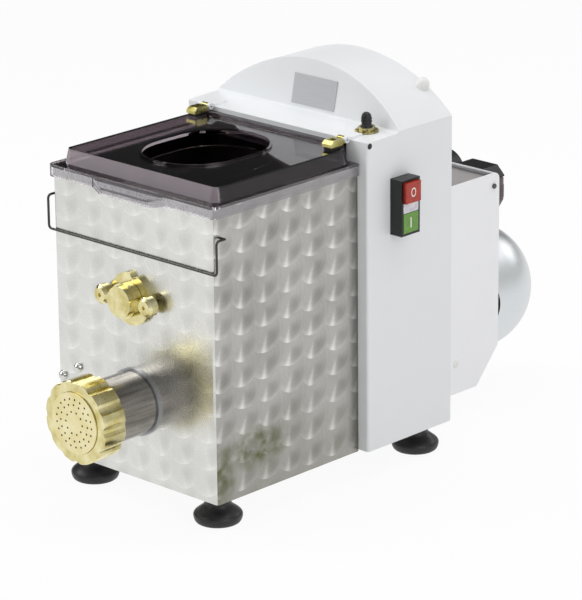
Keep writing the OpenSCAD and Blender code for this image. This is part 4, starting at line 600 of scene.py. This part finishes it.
def screw_head(name, centre, radius, height, finish):
    """A low domed head on a side that faces right, with a slot across its top."""
    points = []
    for ring in range(HEAD_RINGS):
        rise = math.pi / 2 * ring / (HEAD_RINGS - 1)
        out = radius * (math.cos(rise) if ring < HEAD_RINGS - 1 else 0.02)
        for k in range(HEAD_SIDES):
            around = 2 * math.pi * k / HEAD_SIDES
            in_slot = abs(math.sin(around)) * out < radius * SLOT_HALF and ring > 2
            stands = height * (math.sin(rise) - (SLOT_DEPTH if in_slot else 0.0))
            points.append(centre + Vector((stands, out * math.cos(around + SLOT_TURN),
                                           out * math.sin(around + SLOT_TURN))))
    faces = []
    for first in range(0, (HEAD_RINGS - 1) * HEAD_SIDES, HEAD_SIDES):
        for k in range(HEAD_SIDES):
            a = first + k
            b = first + (k + 1) % HEAD_SIDES
            faces.append((a, b, b + HEAD_SIDES, a + HEAD_SIDES))
    faces.append(tuple(range((HEAD_RINGS - 1) * HEAD_SIDES, HEAD_RINGS * HEAD_SIDES)))
    faces.append(tuple(reversed(range(HEAD_SIDES))))
    mesh = bpy.data.meshes.new(name)
    mesh.from_pydata([tuple(point) for point in points], [], faces)
    mesh.shade_smooth()
    head = bpy.data.objects.new(name, mesh)
    scene.collection.objects.link(head)
    dress(head, finish)
    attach(head, "machine")


# Screw high on the gear casing's side, by its front edge and above the steel box's rim
screw_head("casing_side_screw", Vector((CASING_HIGH.x, CASING_LOW.y + 3.6 * MM, BOX_HIGH.z + 22.4 * MM)),
           3.2 * MM, 0.7 * MM, black_plastic)
# Plug low on the motor cover's side
screw_head("cover_side_plug", Vector((COVER_HIGH.x, COVER_LOW.y + 69.2 * MM, COVER_LOW.z + 35.1 * MM)),
           4.8 * MM, 1.2 * MM, white_plastic)

# ---- Floor ----
FLOOR_HALF = 14.0
FLOOR_DROP = 0.3 * MM
# Seen straight, mirrored or through the lid, the floor is nearly white and keeps only a
# faint shadow
FLOOR_GLOW = 0.93


def studio_floor(name):
    """White paper that is mostly seen by its own light."""
    mat = new_material(name)
    surface(mat, Base_Color=srgb("F2F2F2"), Roughness=0.9)
    rays = add(mat, "LightPath").node.outputs
    seen = add(mat, "Math", rays["Is Camera Ray"], rays["Is Glossy Ray"], operation="MAXIMUM")
    seen = add(mat, "Math", seen, rays["Is Transmission Ray"], operation="MAXIMUM")
    share = add(mat, "Math", seen, FLOOR_GLOW, operation="MULTIPLY")
    nodes = mat.node_tree.nodes
    glow = add(mat, "Emission", grey(1.0), 1.0)
    both = add(mat, "MixShader", share, nodes["Principled BSDF"].outputs[0], glow)
    feed(mat, nodes["Material Output"].inputs[0], both)
    return mat


corners = [(x * FLOOR_HALF, y * FLOOR_HALF, 0) for x, y in ((-1, -1), (1, -1), (1, 1), (-1, 1))]
floor_mesh = bpy.data.meshes.new("floor")
floor_mesh.from_pydata(corners, [], [(0, 1, 2, 3)])
floor = bpy.data.objects.new("floor", floor_mesh)
floor.location.z = -FLOOR_DROP
scene.collection.objects.link(floor)
dress(floor, studio_floor("studio_floor"))

# ---- Lamps ----
# Where they aim: the middle of the machine
AIM = Vector((0, 0, 0.2))


def softbox(name, place, width, height, watts):
    """A soft rectangular lamp."""
    light = bpy.data.lights.new(name, "AREA")
    light.shape = "RECTANGLE"
    light.size = width
    light.size_y = height
    light.energy = watts
    lamp = bpy.data.objects.new(name, light)
    lamp.location = place
    lamp.rotation_mode = "QUATERNION"
    lamp.rotation_quaternion = (AIM - Vector(place)).to_track_quat("-Z", "Y")
    scene.collection.objects.link(lamp)


softbox("key_left", (-1.5, -2.2, 1.7), 1.6, 1.6, 24)
softbox("fill_right", (2.6, -0.6, 1.2), 1.4, 1.8, 17)
softbox("strip_left", (-1.75, -0.77, 1.97), 0.3, 1.8, 14)
softbox("top", (0.2, 0.4, 2.6), 2.0, 2.0, 24)
softbox("back", (0.6, 2.8, 1.6), 1.6, 1.2, 12)

# ---- Room ----
# The room's grey as a light
ROOM_LIGHT = 0.36
# The greys that metal and the lid mirror, by the sine of the height over the horizon. They
# are dark where the lid's top mirrors them, so that the smoked acrylic stays dark.
MIRRORED = ((0.03, 1.0), (0.10, 0.24), (0.30, 0.02), (0.36, 0.03), (0.70, 0.26), (1.0, 0.45))
# To the right the room is brighter, as if a pale wall stood there
PALE_WALL = 0.62
WALL_FADE = 1.6
# Through the lid the room is white up to this height, and dark overhead
WHITE_BELOW = 0.2

world = bpy.data.worlds.new("studio")
scene.world = world
world.use_nodes = True
rays = add(world, "LightPath").node.outputs
direction = add(world, "SeparateXYZ", add(world, "TexCoord", out="Generated")).node.outputs
mirrored = add(world, "ValToRGB", direction["Z"])
stops = mirrored.node.color_ramp.elements
while len(stops) < len(MIRRORED):
    stops.new(1.0)
for stop, (height, level) in zip(stops, MIRRORED):
    stop.position = height
    stop.color = grey(level)
wall = add(world, "Math", direction["X"], WALL_FADE, operation="MULTIPLY", use_clamp=True)
mirrored = add(world, "Mix", **COLOURS, Factor_Float=wall, A_Color=mirrored, B_Color=grey(PALE_WALL))
aimed = add(world, "Math", rays["Is Glossy Ray"], rays["Is Transmission Ray"], operation="MAXIMUM")
room = add(world, "Mix", **COLOURS, Factor_Float=aimed, A_Color=grey(ROOM_LIGHT), B_Color=mirrored)
low_down = add(world, "Math", direction["Z"], WHITE_BELOW, operation="LESS_THAN")
seen_through = add(world, "Math", rays["Is Transmission Ray"], low_down, operation="MULTIPLY")
seen = add(world, "Math", rays["Is Camera Ray"], seen_through, operation="MAXIMUM")
room = add(world, "Mix", **COLOURS, Factor_Float=seen, A_Color=room, B_Color=grey(1.0))
background = world.node_tree.nodes["Background"]
feed(world, background.inputs["Color"], room)
feed(world, background.inputs["Strength"], 1.0)

scene.view_settings.view_transform = "Standard"
